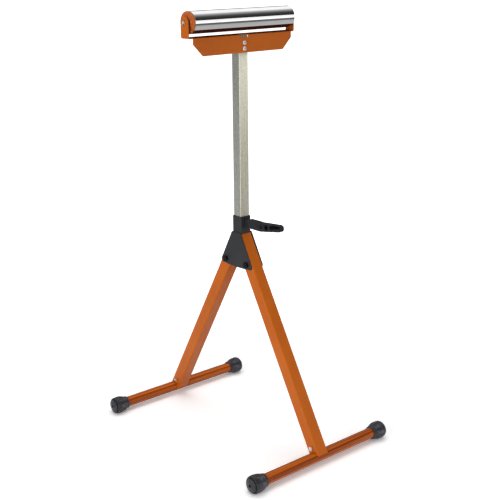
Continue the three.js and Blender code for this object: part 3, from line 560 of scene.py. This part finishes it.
# %% [markdown]
# ## Outline of a rubber foot
# The feet are bell-shaped rubber boots: a thin neck on the tube, a round belly near the end that
# touches the floor, and a domed end with a groove round it and a small hole left by the mould. A
# subdivided cage could give the belly, but it is hard to keep to a measure. A pair of curves with
# handles stays smooth with only a few numbers, and the groove is two points of the second curve,
# pushed in.

# %% Outline of a foot
FOOT_BORE = 0.013
FOOT_NECK = 0.0149
NECK_FLARE = 0.0014
BELLY_AT = 0.0305
BELLY_HANDLE = 0.75
FACE_RADIUS = 0.0145
DOME = 0.0024
HOLE_RADIUS = 0.0033
HOLE_DEPTH = 0.005
GROOVE_POINTS = (8, 9)
GROOVE_DEPTH = 0.0016
LIP = 0.0004
SWELL_POINTS, SHOULDER_POINTS = 20, 14


def curve(start, handle, other_handle, end, points):
    ends = [Vector((*p, 0)) for p in (start, handle, other_handle, end)]
    return [(p.x, p.y) for p in interpolate_bezier(*ends, points)]


def foot_outline(length, belly, socket):
    """(Distance from the neck, radius) from the tube's end round to the hole, and the groove's rims."""
    face = length - DOME
    neck_handle = (BELLY_AT / 3, FOOT_NECK + NECK_FLARE)
    belly_handle = (BELLY_AT * BELLY_HANDLE, belly)
    widest = (BELLY_AT, belly)
    swell = curve((4 * LIP, FOOT_NECK), neck_handle, belly_handle, widest, SWELL_POINTS)
    past_belly = ((BELLY_AT + face) / 2, belly)
    before_face = (face - DOME / 3, belly - DOME)
    shoulder = curve(widest, past_belly, before_face, (face, FACE_RADIUS), SHOULDER_POINTS)
    groove = [shoulder[i] for i in GROOVE_POINTS]
    for i, (along, radius) in zip(GROOVE_POINTS, groove):
        shoulder[i] = (along, radius - GROOVE_DEPTH)
    outline = [
        (socket, 0), (socket, FOOT_BORE), (0, FOOT_BORE),
        (0, FOOT_NECK + LIP), (3 * LIP, FOOT_NECK + LIP),
        *swell, *shoulder[1:], (length, 2 * HOLE_RADIUS), (length, HOLE_RADIUS),
        (length - HOLE_DEPTH, HOLE_RADIUS), (length - HOLE_DEPTH, 0),
    ]
    return outline, groove


print("a foot's belly is", BELLY_AT, "m from its neck")

# %% [markdown]
# ## Ribs of the feet
# Soft ribs for grip run along the belly. They could be separate strips, but moulded ribs grow out of
# the surface. So the points of every few steps of the spin are moved outwards, most in the middle
# of a rib and not at all at its ends.

# %% Ribs
FOOT_STEPS = 96
STEPS_PER_RIB = 12
RIB_HEIGHT = 0.0018
RIBS_FROM, RIBS_TO = 0.004, 0.031
low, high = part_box("cross_tube_front")
TUBE_Z = (low.z + high.z) / 2
TUBE_END = high.x


def add_ribs(bm, neck, outward, y):
    """Raises the ribs, and marks their backs paler: rubbing, and a painted highlight."""

    def rib_share(place, shift):
        """How much of a rib's height this place gets: none between ribs, all in a rib's middle."""
        along = outward * (place.x - neck)
        arm = Vector((0, place.y - y, place.z - TUBE_Z))
        step = math.atan2(arm.y, arm.z) * FOOT_STEPS / (2 * math.pi)
        on_rib = round(step + shift) % STEPS_PER_RIB < STEPS_PER_RIB / 2
        if not on_rib or arm.length < FOOT_NECK or not RIBS_FROM < along < RIBS_TO:
            return 0.0, arm
        return math.sin(math.pi * (along - RIBS_FROM) / (RIBS_TO - RIBS_FROM)), arm

    # Rib backs get the pale mark: rubbing, and a painted highlight.
    wear_and_highlight = bm.faces.layers.float["edge"]
    for face in bm.faces:
        share, _ = rib_share(face.calc_center_median(), -0.5)
        face[wear_and_highlight] = max(face[wear_and_highlight], share)
    for vert in bm.verts:
        share, arm = rib_share(vert.co, 0)
        vert.co += arm.normalized() * RIB_HEIGHT * share


print("ribs on each foot:", FOOT_STEPS // STEPS_PER_RIB)

# %% [markdown]
# ## Rubber feet
# Each foot is its outline, spun and ribbed. The hole and the groove get the dark finish: painted
# shade, as little light reaches in. Rubber under load is flat where it rests. Moving the lowest
# points up would wrinkle the ribs, so a plane cuts the flat, and the open rim is filled.

# %% Rubber feet
FOOT_SHARP = 38
FOOT_PLAY = 0.0003


def rubber_foot(node, name):
    low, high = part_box(node)
    y = (low.y + high.y) / 2
    length = high.x - low.x
    outward = 1 if high.x > -low.x else -1
    neck = low.x if outward > 0 else high.x
    socket = TUBE_END - abs(neck) + FOOT_PLAY
    outline, groove = foot_outline(length, (high.y - low.y) / 2, socket)
    placed = [(neck + outward * along, radius) for along, radius in outline]
    bm = round_edges(turned(placed, y, TUBE_Z, FOOT_STEPS), LIP, sharper_than=FOOT_SHARP)
    add_ribs(bm, neck, outward, y)
    for made in bm.faces:
        centre = made.calc_center_median()
        along = outward * (centre.x - neck)
        off_axis = math.hypot(centre.y - y, centre.z - TUBE_Z)
        in_hole = off_axis < HOLE_RADIUS + LIP / 4 and socket < along < length - LIP / 2
        in_groove = groove[0][0] - LIP < along < groove[1][0] + LIP and off_axis < groove[1][1]
        # Faces in the hole and the groove get the painted shade.
        made.material_index = int(in_hole or in_groove)
    whole = bm.verts[:] + bm.edges[:] + bm.faces[:]
    cut = bmesh.ops.bisect_plane(
        bm, geom=whole, plane_co=(0, 0, 0), plane_no=(0, 0, -1), clear_outer=True
    )
    rim = [e for e in cut["geom_cut"] if isinstance(e, bmesh.types.BMEdge)]
    bmesh.ops.edgeloop_fill(bm, edges=rim)
    return show(bm, name, rubber_skin, [node], second=painted_hollow_shade)


for place in ("front", "rear"):
    for side in ("left", "right"):
        rubber_foot(f"end_cap_{place}_{side}", f"rubber_foot_{place}_{side}")

# %% [markdown]
# ## Sheet, tube and moulded pieces with eased edges
# The folded cradle, the square tubes, the cheek plates and the lever already have their right
# shape in the measured model. What they lack is the small round that cutting, painting or a
# mould leaves on every edge and that catches the light. So each is copied, its loose triangles are
# joined into clean flat faces, and a bevel rounds what is sharp.

# %% Copies with rounded edges
FLAT_WITHIN = math.radians(0.6)
COPY_SHARP = 32


def eased_copy(node, name, finish, width, segments=2, second=None, is_second=None):
    """A copy with rounded edges. Faces that is_second picks get the second finish."""
    bm = bmesh.new()
    bm.from_mesh(frame["nodes"][node].data)
    bmesh.ops.remove_doubles(bm, verts=bm.verts[:], dist=2 * SAME_POINT)
    bmesh.ops.dissolve_limit(bm, angle_limit=FLAT_WITHIN, verts=bm.verts[:], edges=bm.edges[:])
    round_edges(bm, width, segments, COPY_SHARP)
    if second:
        for face in bm.faces:
            face.material_index = int(is_second(face))
    return show(bm, name, finish, [node], second=second)


METAL_EDGE = 0.0003
COATED_EDGE = 0.0004
PLATE_EDGE = 0.0005
MOULDED_EDGE = 0.0006
eased_copy("post", "square_post", zinc_skin, METAL_EDGE)
for place in ("front", "rear"):
    eased_copy(f"leg_{place}", f"{place}_leg_tube", orange_coat, COATED_EDGE)
eased_copy("sleeve", "post_sleeve", charcoal_coat, COATED_EDGE)
for side in ("left", "right"):
    eased_copy(f"cheek_{side}", f"cheek_plate_{side}", charcoal_coat, PLATE_EDGE)
eased_copy("lever_bracket", "lever_mount", lever_plastic, MOULDED_EDGE, 3)
for place in ("upper", "lower"):
    eased_copy(f"skirt_nut_{place}", f"post_nut_{place}", bright_skin, METAL_EDGE)
eased_copy("lever_pin", "lever_pivot_pin", black_skin, METAL_EDGE)
eased_copy("post_stop_rivet", "stop_rivet", black_skin, METAL_EDGE)

# %% [markdown]
# ## Folded cradle
# The cradle is one sheet, cut and folded. It is eased like the others, but the floor of the fold,
# which looks up at the roller, gets the dark coat: painted shade, as the roller keeps the light off
# it. Its faces are found by where they look and how high they are, which needs no list of face
# numbers.

# %% Cradle
roller_bottom = axle_z - ROLLER_RADIUS
FACING_UP = 0.7


def in_roller_shade(face):
    return face.normal.z > FACING_UP and face.calc_center_median().z < roller_bottom


# Painted shade on the floor of the fold, under the roller.
eased_copy(
    "cradle", "folded_cradle", orange_coat, COATED_EDGE,
    second=fold_shade_coat, is_second=in_roller_shade,
)

# %% [markdown]
# ## Lever and skirt screws
# The lever has a round recess near its root and a long slot near its tip, and each button-head
# screw has a hexagon socket. Such hollows look black on the real thing, since little light gets in.
# A mask in the finish could darken them, but giving their faces the dark finish, as painted shade,
# is simpler, and stays sharp at the rim.

# %% Lever and screws
pin_low, pin_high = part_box("lever_pin")
lever_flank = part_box("lever")[1].x
PIVOT_Y = (pin_low.y + pin_high.y) / 2
PIVOT_Z = (pin_low.z + pin_high.z) / 2
LEVER_RISE = math.radians(7.5)
LEVER_LENGTH = 0.060
RECESS_AT, RECESS_RADIUS = 0.0185, 0.0062
SLOT_LENGTH, SLOT_RADIUS = 0.015, 0.0016
BELOW_FLANK = 0.0004
HOLLOW_MARGIN = 0.0002
LEVER_EDGE = 0.0007


def in_lever_hollow(face):
    centre = face.calc_center_median()
    forward, up = PIVOT_Y - centre.y, centre.z - PIVOT_Z
    along = forward * math.cos(LEVER_RISE) + up * math.sin(LEVER_RISE)
    off = up * math.cos(LEVER_RISE) - forward * math.sin(LEVER_RISE)
    below_flank = abs(centre.x) < lever_flank - BELOW_FLANK
    in_recess = math.hypot(along - RECESS_AT, off) < RECESS_RADIUS + HOLLOW_MARGIN
    slot_from, slot_to = LEVER_LENGTH - SLOT_LENGTH, LEVER_LENGTH + 2 * SLOT_RADIUS
    in_slot = abs(off) < SLOT_RADIUS + HOLLOW_MARGIN and slot_from < along < slot_to
    return below_flank and (in_recess or in_slot)


# Painted shade: the lever's recess and slot get the nearly black finish.
eased_copy(
    "lever", "clamp_lever", lever_plastic, LEVER_EDGE, 3, painted_hollow_shade, in_lever_hollow
)
SOCKET_RADIUS = 0.0018
SOCKET_FROM, SOCKET_TO = 0.0002, 0.0025
SCREW_EDGE = 0.0002
for place in ("upper", "lower"):
    low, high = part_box(f"skirt_screw_{place}")
    screw_z = (low.z + high.z) / 2

    def in_socket(face):
        centre = face.calc_center_median()
        off_axis = math.hypot(centre.x, centre.z - screw_z)
        return off_axis < SOCKET_RADIUS and SOCKET_FROM < centre.y - low.y < SOCKET_TO

    # Painted shade: each screw's socket gets the nearly black finish.
    eased_copy(
        f"skirt_screw_{place}", f"button_screw_{place}", pale_skin, SCREW_EDGE,
        second=painted_hollow_shade, is_second=in_socket,
    )

# %% [markdown]
# ## Hexagon heads and nuts
# A real hexagon head is cut from bar and turned on its face, so its corners fall away in small
# arcs. A plain six-sided prism lacks those. Here the six sides are cut finer, the corners of the
# upper rim are lowered by their distance from the middle, and the rim is bridged to a round face.

# %% Hexagons
SIDE_CUTS = 4
RIM_STEPS = 6 * SIDE_CUTS
FACE_SHARE = 0.94
CORNER_FALL = math.tan(math.radians(30))


def loop(bm, radius, z):
    """A ring of edges about the Z axis at this height."""
    before = set(bm.edges)
    place = Matrix.Translation((0, 0, z))
    bmesh.ops.create_circle(bm, cap_ends=False, segments=RIM_STEPS, radius=radius, matrix=place)
    return [e for e in bm.edges if e not in before]


def hexagon(bm, flats, height, bore=0.0):
    """A hexagon on the origin, standing along +Z, with a turned upper face and, for a nut, a bore."""
    bmesh.ops.create_circle(bm, cap_ends=False, segments=6, radius=flats / math.sqrt(3))
    bmesh.ops.subdivide_edges(bm, edges=bm.edges[:], cuts=SIDE_CUTS - 1)
    lower = bm.edges[:]
    raised = bmesh.ops.extrude_edge_only(bm, edges=lower)["geom"]
    upper = [e for e in raised if isinstance(e, bmesh.types.BMEdge)]
    face_radius = flats / 2 * FACE_SHARE
    for vert in [v for v in raised if isinstance(v, bmesh.types.BMVert)]:
        vert.co.z = height - (vert.co.xy.length - face_radius) * CORNER_FALL
    top = loop(bm, face_radius, height)
    bmesh.ops.bridge_loops(bm, edges=upper + top)
    if bore == 0:
        bmesh.ops.edgeloop_fill(bm, edges=top)
        bmesh.ops.edgeloop_fill(bm, edges=lower)
        return bm
    mouth, far_mouth = loop(bm, bore, height), loop(bm, bore, 0)
    bmesh.ops.bridge_loops(bm, edges=top + mouth)
    bmesh.ops.bridge_loops(bm, edges=lower + far_mouth)
    bmesh.ops.bridge_loops(bm, edges=mouth + far_mouth)
    return bm


print("points round a hexagon's rim:", RIM_STEPS)

# %% [markdown]
# ## Threads
# The ends of the bolts show their thread. A true helix would be a Screw modifier on one notch. From
# a hand's length away rings look the same, so the thread is a row of ridges in one outline, which
# is spun.

# %% Threads
THREAD_PITCH = 0.0008
THREAD_DEPTH = 0.0004
SHANK_STEPS = 28
TIP = 0.0003


def threaded_end(bm, radius, length):
    """A shank of this length along +Z, with the ridges of a thread."""
    root = radius - THREAD_DEPTH
    profile = [(0.0, root)]
    for i in range(max(1, int((length - 2 * TIP) / THREAD_PITCH))):
        profile += [(share * THREAD_PITCH, radius) for share in (i + 0.3, i + 0.7)]
        profile += [((i + 1) * THREAD_PITCH, root)]
    profile += [(length - TIP, root), (length, root - THREAD_DEPTH), (length, 0)]
    corners = [bm.verts.new((r, 0, along)) for along, r in profile]
    edges = [bm.edges.new(pair) for pair in zip(corners, corners[1:])]
    bmesh.ops.spin(
        bm, geom=corners + edges, cent=(0, 0, 0), axis=(0, 0, 1),
        angle=2 * math.pi, steps=SHANK_STEPS, use_merge=True,
    )
    return bm


print("one turn of thread every", THREAD_PITCH, "m")

# %% [markdown]
# ## Bolts and nuts
# Two bolts are the legs' pivots, and one near each foot holds the leg on its cross tube. All lie along
# X. They are made standing, because a head or a thread is easiest to think of upright, then laid
# over and put on their seats.

# %% Bolts and nuts
SMOOTH_STEEL = 28


def facing(bm, direction, seat):
    """Lays a shape that stands along +Z on a seat along X, facing that direction."""
    turn = Matrix.Rotation(math.radians(90 * direction), 4, "Y")
    bmesh.ops.transform(bm, matrix=Matrix.Translation(seat) @ turn, verts=bm.verts[:])
    bmesh.ops.remove_doubles(bm, verts=bm.verts[:], dist=SAME_POINT)
    bmesh.ops.recalc_face_normals(bm, faces=bm.faces[:])
    return bm


# size across the flats, height of the head, height of the nut, radius of the shank
BOLT_SIZES = {"pivot": (0.013, 0.0053, 0.0065, 0.004), "foot": (0.010, 0.0042, 0.006, 0.003)}
BOLT_FINISH = {"pivot": (black_skin, "black_steel"), "foot": (bright_skin, "steel")}
NUT_PLAY = 0.0003
for kind, (flats, head_height, nut_height, shank_radius) in BOLT_SIZES.items():
    for place in ("front", "rear"):
        low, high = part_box(f"{kind}_bolt_{place}")
        y, z = (low.y + high.y) / 2, (low.z + high.z) / 2
        seat = low.x + head_height
        bolt = facing(hexagon(bmesh.new(), flats, head_height), -1, (seat, y, z))
        shank = facing(threaded_end(bmesh.new(), shank_radius, high.x - seat), 1, (seat, y, z))
        loose = bpy.data.meshes.new("shank")
        shank.to_mesh(loose)
        bolt.from_mesh(loose)
        bpy.data.meshes.remove(loose)
        shank.free()
        finish, slot = BOLT_FINISH[kind]
        show(bolt, f"hexagon_bolt_{kind}_{place}", finish, [f"{kind}_bolt_{place}"], SMOOTH_STEEL)
        low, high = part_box(f"{kind}_nut_{place}")
        nut = hexagon(bmesh.new(), flats, nut_height, shank_radius + NUT_PLAY)
        facing(nut, 1, (low.x, y, z))
        show(nut, f"hexagon_nut_{kind}_{place}", finish, [f"{kind}_nut_{place}"], SMOOTH_STEEL)

# %% [markdown]
# ## Domed axle nuts
# A cap nut closes each end of the axle: a hexagon with a polished dome. A half sphere could be cut
# to fit, but an arc that starts just inside the hexagon's turned face and is spun about the axle needs
# no cutting.

# %% Axle nuts
AXLE_NUT_FLATS = 0.009
HEX_PART = 0.0034
DOME_RADIUS = 0.0041
DOME_SINK = 0.0018
DOME_STEPS = 32
DOME_ANGLES = [math.radians(d) for d in (20, 32, 44, 56, 68, 79, 90)]
for side, direction in (("left", -1), ("right", 1)):
    low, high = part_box(f"axle_nut_{side}")
    seat = high.x if direction < 0 else low.x
    nut = hexagon(bmesh.new(), AXLE_NUT_FLATS, HEX_PART)
    middle = HEX_PART - DOME_SINK
    arc = [
        nut.verts.new((DOME_RADIUS * math.cos(angle), 0, middle + DOME_RADIUS * math.sin(angle)))
        for angle in DOME_ANGLES
    ]
    joined = [nut.edges.new(pair) for pair in zip(arc, arc[1:])]
    bmesh.ops.spin(
        nut, geom=arc + joined, cent=(0, 0, 0), axis=(0, 0, 1),
        angle=2 * math.pi, steps=DOME_STEPS, use_merge=True,
    )
    facing(nut, direction, (seat, 0, axle_z))
    show(nut, f"domed_nut_{side}", bright_skin, [f"axle_nut_{side}"], SMOOTH_STEEL)

# %% [markdown]
# ## Small round pieces
# Spacers sit on the axle between ear and bearing, each bearing has an outer and an inner ring, a
# bush keeps each leg turning freely on its bolt, and a clip holds the lever's pin. All are short
# rings, spun like the tubes.

# %% Rings
RING_STEPS = 48
RING_EDGE = 0.0002
ON_AXLE, ON_BALLS, ON_PIVOT, ON_PIN = 0.0033, 0.0078, 0.0043, 0.0028


def ring(node, name, hole):
    low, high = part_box(node)
    middle = (low + high) / 2
    radius = (high.z - low.z) / 2
    outline = tube_outline(low, high, hole, radius)
    bm = round_edges(turned(outline, middle.y, middle.z, RING_STEPS), RING_EDGE)
    return show(bm, name, bright_skin, [node])


for side in ("left", "right"):
    ring(f"axle_spacer_{side}", f"spacer_{side}", ON_AXLE)
    ring(f"bearing_outer_{side}", f"bearing_ring_{side}", ON_BALLS)
    ring(f"bearing_inner_{side}", f"bearing_core_{side}", ON_AXLE)
for place in ("front", "rear"):
    ring(f"pivot_bush_{place}", f"leg_bush_{place}", ON_PIVOT)
ring("lever_pin_clip", "pin_clip", ON_PIN)

# %% [markdown]
# ## Return spring
# A flat spiral of wire on the pin brings the lever back up. A curve with a thick line could draw
# it. Here a small circle is extruded step by step, and each step is turned a little about the pin
# and pushed a little outwards, which is how the wire is wound.

# %% Spring
WIRE = 0.00033
WIRE_SIDES = 10
SMOOTH_WIRE = 50
COIL_TURNS = 3
STEPS_PER_TURN = 28
COIL_FROM = 0.0033


def flat_spiral(node, name):
    low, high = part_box(node)
    pin = (low + high) / 2
    growth = ((high.z - low.z) / 2 - WIRE - COIL_FROM) / (COIL_TURNS * STEPS_PER_TURN)
    angle = 2 * math.pi / STEPS_PER_TURN
    bm = bmesh.new()
    start = Matrix.Translation(pin + Vector((0, 0, COIL_FROM))) @ Matrix.Rotation(math.pi / 2, 4, "X")
    bmesh.ops.create_circle(bm, cap_ends=True, segments=WIRE_SIDES, radius=WIRE, matrix=start)
    end = bm.edges[:]
    for step in range(1, COIL_TURNS * STEPS_PER_TURN + 1):
        made = bmesh.ops.extrude_edge_only(bm, edges=end)["geom"]
        end = [e for e in made if isinstance(e, bmesh.types.BMEdge)]
        fresh = [v for v in made if isinstance(v, bmesh.types.BMVert)]
        bmesh.ops.rotate(bm, verts=fresh, cent=pin, matrix=Matrix.Rotation(angle, 3, "X"))
        outward = Matrix.Rotation(angle * step, 3, "X") @ Vector((0, 0, growth))
        bmesh.ops.translate(bm, verts=fresh, vec=outward)
    bmesh.ops.edgeloop_fill(bm, edges=end)
    bmesh.ops.recalc_face_normals(bm, faces=bm.faces[:])
    return show(bm, name, bright_skin, [node], SMOOTH_WIRE)


flat_spiral("lever_spring", "return_spring_coil")

# %% [markdown]
# ## Pieces that keep their measured shape
# What is left is inside: axle, ball sets, spigots and the brake's plunger with its facing. Their
# shape is right as it is, so only their finish changes, through their material slots.

# %% Finishes of the inner pieces
inner = {
    "axle": bright_skin, "bearing_balls_left": bright_skin, "bearing_balls_right": bright_skin,
    "leg_spigot_front": bright_skin, "leg_spigot_rear": bright_skin,
    "brake_plunger": bright_skin, "brake_facing": rubber_skin,
}
for node, finish in inner.items():
    for place in frame["nodes"][node].material_slots:
        place.material = finish
print("finished", len(inner), "inner pieces")

# %% [markdown]
# ## What is seen and what gives light
# A studio's white floor and walls would throw too much light on the stand if they were as bright as
# they look. More lamps or less exposure would shift every colour. Light Path tells apart what the
# camera or a mirror sees from the light that falls on things, so the two can be set separately.

# %% Seen directly
def seen_directly(tree):
    """1 for what the camera, a mirror or glass sees, 0 for the light that falls on things."""
    path = tree.nodes.new("ShaderNodeLightPath")
    seen = path.outputs["Is Camera Ray"]
    for ray in ("Is Glossy Ray", "Is Transmission Ray"):
        seen = maths(tree, "MAXIMUM", seen, path.outputs[ray])
    return seen


print("light path helper ready")

# %% [markdown]
# ## Floor
# The stand is on a white sweep under large soft lamps. The floor must look white and still hold a
# shadow, so part of its white is its own light, which only the camera and mirrors see, and the
# rest is an ordinary matt surface that can fall into shade. Near the stand nearly all is matt, and
# lit a little past white, so that only the deep shade under the tubes shows. Further out the glow
# takes over.

# %% Floor
NEAR_GLOW, FAR_GLOW = 0.06, 0.75
GLOW_FROM, GLOW_TO = 0.45, 1.5
FLOOR_SEEN = 1.32
FLOOR_BOUNCE = 0.62
FLOOR_SIZE = 40
FLOOR_Z = -0.0002  # just under the feet, so that the two do not flicker


def white_floor():
    material = bpy.data.materials.new("white_sweep")
    material.use_nodes = True
    tree = material.node_tree
    tree.nodes.clear()
    seen = seen_directly(tree)
    matt = tree.nodes.new("ShaderNodeBsdfDiffuse")
    paint = tree.nodes.new("ShaderNodeMix")
    paint.inputs["A"].default_value = FLOOR_BOUNCE
    paint.inputs["B"].default_value = FLOOR_SEEN
    tree.links.new(seen, paint.inputs["Factor"])
    tree.links.new(paint.outputs["Result"], matt.inputs["Color"])
    reach = tree.nodes.new("ShaderNodeVectorMath")
    reach.operation = "LENGTH"
    tree.links.new(tree.nodes.new("ShaderNodeTexCoord").outputs["Object"], reach.inputs[0])
    fade = spread_range(tree, reach.outputs["Value"], (GLOW_FROM, GLOW_TO), (NEAR_GLOW, FAR_GLOW))
    own = tree.nodes.new("ShaderNodeEmission")
    tree.links.new(maths(tree, "MULTIPLY", seen, fade), own.inputs["Strength"])
    both = tree.nodes.new("ShaderNodeAddShader")
    out = tree.nodes.new("ShaderNodeOutputMaterial")
    tree.links.new(matt.outputs["BSDF"], both.inputs[0])
    tree.links.new(own.outputs["Emission"], both.inputs[1])
    tree.links.new(both.outputs["Shader"], out.inputs["Surface"])
    return material


bm = bmesh.new()
bmesh.ops.create_grid(bm, x_segments=2, y_segments=2, size=FLOOR_SIZE)
floor = in_scene(bm, "floor", white_floor())
floor.location.z = FLOOR_Z
print("floor ready")

# %% [markdown]
# ## Room
# The room is white as well. It could be a modelled box, but a plain world background has no corners
# and costs nothing. It is white where it is seen, and less than half as bright as a light.

# %% Room
ROOM_LEVEL = 0.45
world = bpy.data.worlds.new("room")
bpy.context.scene.world = world
world.use_nodes = True
tree = world.node_tree
room = tree.nodes["Background"]
room.inputs["Color"].default_value = (1, 1, 1, 1)
strength = spread_range(tree, seen_directly(tree), (0, 1), (ROOM_LEVEL, 1))
tree.links.new(strength, room.inputs["Strength"])
print("room gives", ROOM_LEVEL, "of the light it shows")

# %% [markdown]
# ## Lamps
# Three large lamps give the plain soft light, the strongest from the left. A sun or a spot would
# draw hard shadows. Wide area lamps, like a studio's soft boxes, blur them. Reflections do not see
# the lamps themselves, because what they show is left to the cards of the next step.

# %% Lamps
def lamp(name, place, aim, size, watts):
    light = bpy.data.lights.new(name, "AREA")
    light.shape = "DISK"
    light.size = size
    light.energy = watts
    lamp_object = bpy.data.objects.new(name, light)
    bpy.context.scene.collection.objects.link(lamp_object)
    lamp_object.location = place
    lamp_object.rotation_euler = (Vector(aim) - Vector(place)).to_track_quat("-Z", "Y").to_euler()
    lamp_object.visible_glossy = False
    print(name, "gives", watts, "watts")
    return lamp_object


lamp("left_lamp", (-2.8, -0.6, 0.6), (0, 0, 0.5), 1.8, 47)
lamp("front_lamp", (0.8, -3.0, 0.6), (0, 0, 0.5), 2.0, 15.5)
lamp("top_lamp", (0.3, 0.4, 3.2), (0, 0, 0.4), 2.4, 30)

# %% [markdown]
# ## Cards for the reflections
# Polished metal needs something dark to reflect, or it looks like white plastic, so a studio hangs
# grey and black cards around it. A picture of a room could be used as the world instead, but cards
# can be placed one by one. These are seen only by reflections: the camera, the shadows and the soft
# light ignore them.

# %% A card
def card(name, corners, shades, tint):
    """A card that only reflections see. Its greys run from its first edge to the opposite one."""
    material = bpy.data.materials.new(name)
    material.use_nodes = True
    tree = material.node_tree
    tree.nodes.clear()
    along = tree.nodes.new("ShaderNodeAttribute")
    along.attribute_name = "run"
    ramp = tree.nodes.new("ShaderNodeValToRGB")
    while len(ramp.color_ramp.elements) < len(shades):
        ramp.color_ramp.elements.new(1.0)
    for stop, (share, grey) in zip(ramp.color_ramp.elements, shades):
        stop.position = share
        stop.color = (*[grey * part for part in tint], 1)
    tree.links.new(along.outputs["Fac"], ramp.inputs["Fac"])
    glow = tree.nodes.new("ShaderNodeEmission")
    tree.links.new(ramp.outputs["Color"], glow.inputs["Color"])
    out = tree.nodes.new("ShaderNodeOutputMaterial")
    tree.links.new(glow.outputs["Emission"], out.inputs["Surface"])
    bm = bmesh.new()
    bm.faces.new([bm.verts.new(corner) for corner in corners])
    made = in_scene(bm, name, material)
    run = made.data.attributes.new("run", "FLOAT", "POINT")
    for point, share in zip(run.data, (0, 0, 1, 1)):
        point.value = share
    for kind in ("camera", "diffuse", "shadow", "transmission"):
        setattr(made, f"visible_{kind}", False)
    print(name, "has", len(shades), "greys")
    return made


def level_card(name, x, y, z, shades, tint=(1, 1, 1)):
    corners = [(x[0], y[0], z), (x[1], y[0], z), (x[1], y[1], z), (x[0], y[1], z)]
    return card(name, corners, shades, tint)


def upright_card(name, x, y, z, shades, tint=(1, 1, 1)):
    corners = [(x[0], y, z[0]), (x[1], y, z[0]), (x[1], y, z[1]), (x[0], y, z[1])]
    return card(name, corners, shades, tint)


print("card helpers ready")

# %% [markdown]
# ## Cards for the roller
# The roller shows a dark band, a white one and a grey one, each a card that it mirrors. The large one
# overhead fades from black to white and gives the broad band. Those below, behind and close under the
# roller give the narrow ones. A dark red one lies in the gap over the cradle's fold: a painted
# reflection of the fold in the roller's shade.

# %% Cards for the roller
OVERHEAD = [
    (0, 0.02), (0.455, 0.026), (0.624, 0.04), (0.744, 0.078),
    (0.834, 0.22), (0.917, 0.42), (0.978, 0.8), (1, 1),
]
level_card("overhead_card", (-2.0, 8.0), (-5.8, 0.18), 2.97, OVERHEAD)
BELOW = [(0, 0.37), (0.69, 0.37), (0.7, 0.01), (1, 0.01)]
level_card("low_card", (0.3, 1.5), (-0.9, 0.1), 0.004, BELOW)
UNDER_ROLLER = [(0, 0.43), (0.236, 0.41), (0.364, 0.43), (0.542, 0.13), (1, 0.1)]
upright_card("roller_card", (-0.3, 0.5), -0.1, (0.888, 0.954), UNDER_ROLLER)
FOLD_DEPTH = 0.0055
fold_top = roller_bottom - FOLD_DEPTH
MAROON = (1, 0.2, 0.12)
SILL = [(0, 0.42), (1, 0.46)]
FOLD_SHADE = [(0, 0.03), (1, 0.03)]
BEHIND = [(0, 0.08), (1, 0.08)]
level_card("sill_card", (-0.2, 0.3), (-0.045, -0.0205), fold_top, SILL)
# Painted reflection: the fold in the roller's shade, dark red.
level_card("shaded_fold_card", (-0.2, 0.3), (-0.0205, 0.03), fold_top, FOLD_SHADE, MAROON)
upright_card("back_card", (1.0, 8.0), 4.0, (0.3, 3.6), BEHIND)

# %% [markdown]
# ## Cards for the post
# The post is pale on one face and grey on the next, and each changes along its height. Paint on the
# post could imitate that, but it would be wrong from every other side. So a cool grey card stands
# at the left, and grey ones lie on the floor around the stand, paler further out.

# %% Cards for the post
ON_FLOOR = 0.003
COOL = (0.97, 1.05, 1.2)
BEHIND_LEFT = [(0, 0.38), (0.12, 0.36), (0.26, 0.32), (0.38, 0.24), (1, 0.2)]
upright_card("left_card", (-2.8, -0.1), 1.0, (0.0, 1.9), BEHIND_LEFT, COOL)
AHEAD = [(0, 1), (0.25, 1), (0.42, 0.93), (0.55, 0.66), (0.68, 0.45), (0.78, 0.37), (1, 0.37)]
level_card("ahead_card", (0.2, 8.0), (-7.5, -0.9), ON_FLOOR, AHEAD)
NEARER = [(0, 0.8), (0.6, 0.62), (1, 0.5)]
level_card("near_card", (-5.0, -0.5), (-5.0, -0.5), ON_FLOOR, NEARER)
LEFT_FLOOR = [(0, 0.62), (1, 0.5)]
level_card("left_floor_card", (-2.8, -0.3), (0.3, 1.0), ON_FLOOR, LEFT_FLOOR, COOL)
RIGHT_FLOOR = [(0, 0.42), (0.5, 0.56), (1, 0.72)]
level_card("right_floor_card", (0.35, 2.2), (0.35, 2.2), ON_FLOOR, RIGHT_FLOOR)

# %% [markdown]
# ## Last look
# The picture is shown with the Standard transform, so colours come out as they were written.

# %% Colour transform
bpy.context.scene.view_settings.view_transform = "Standard"
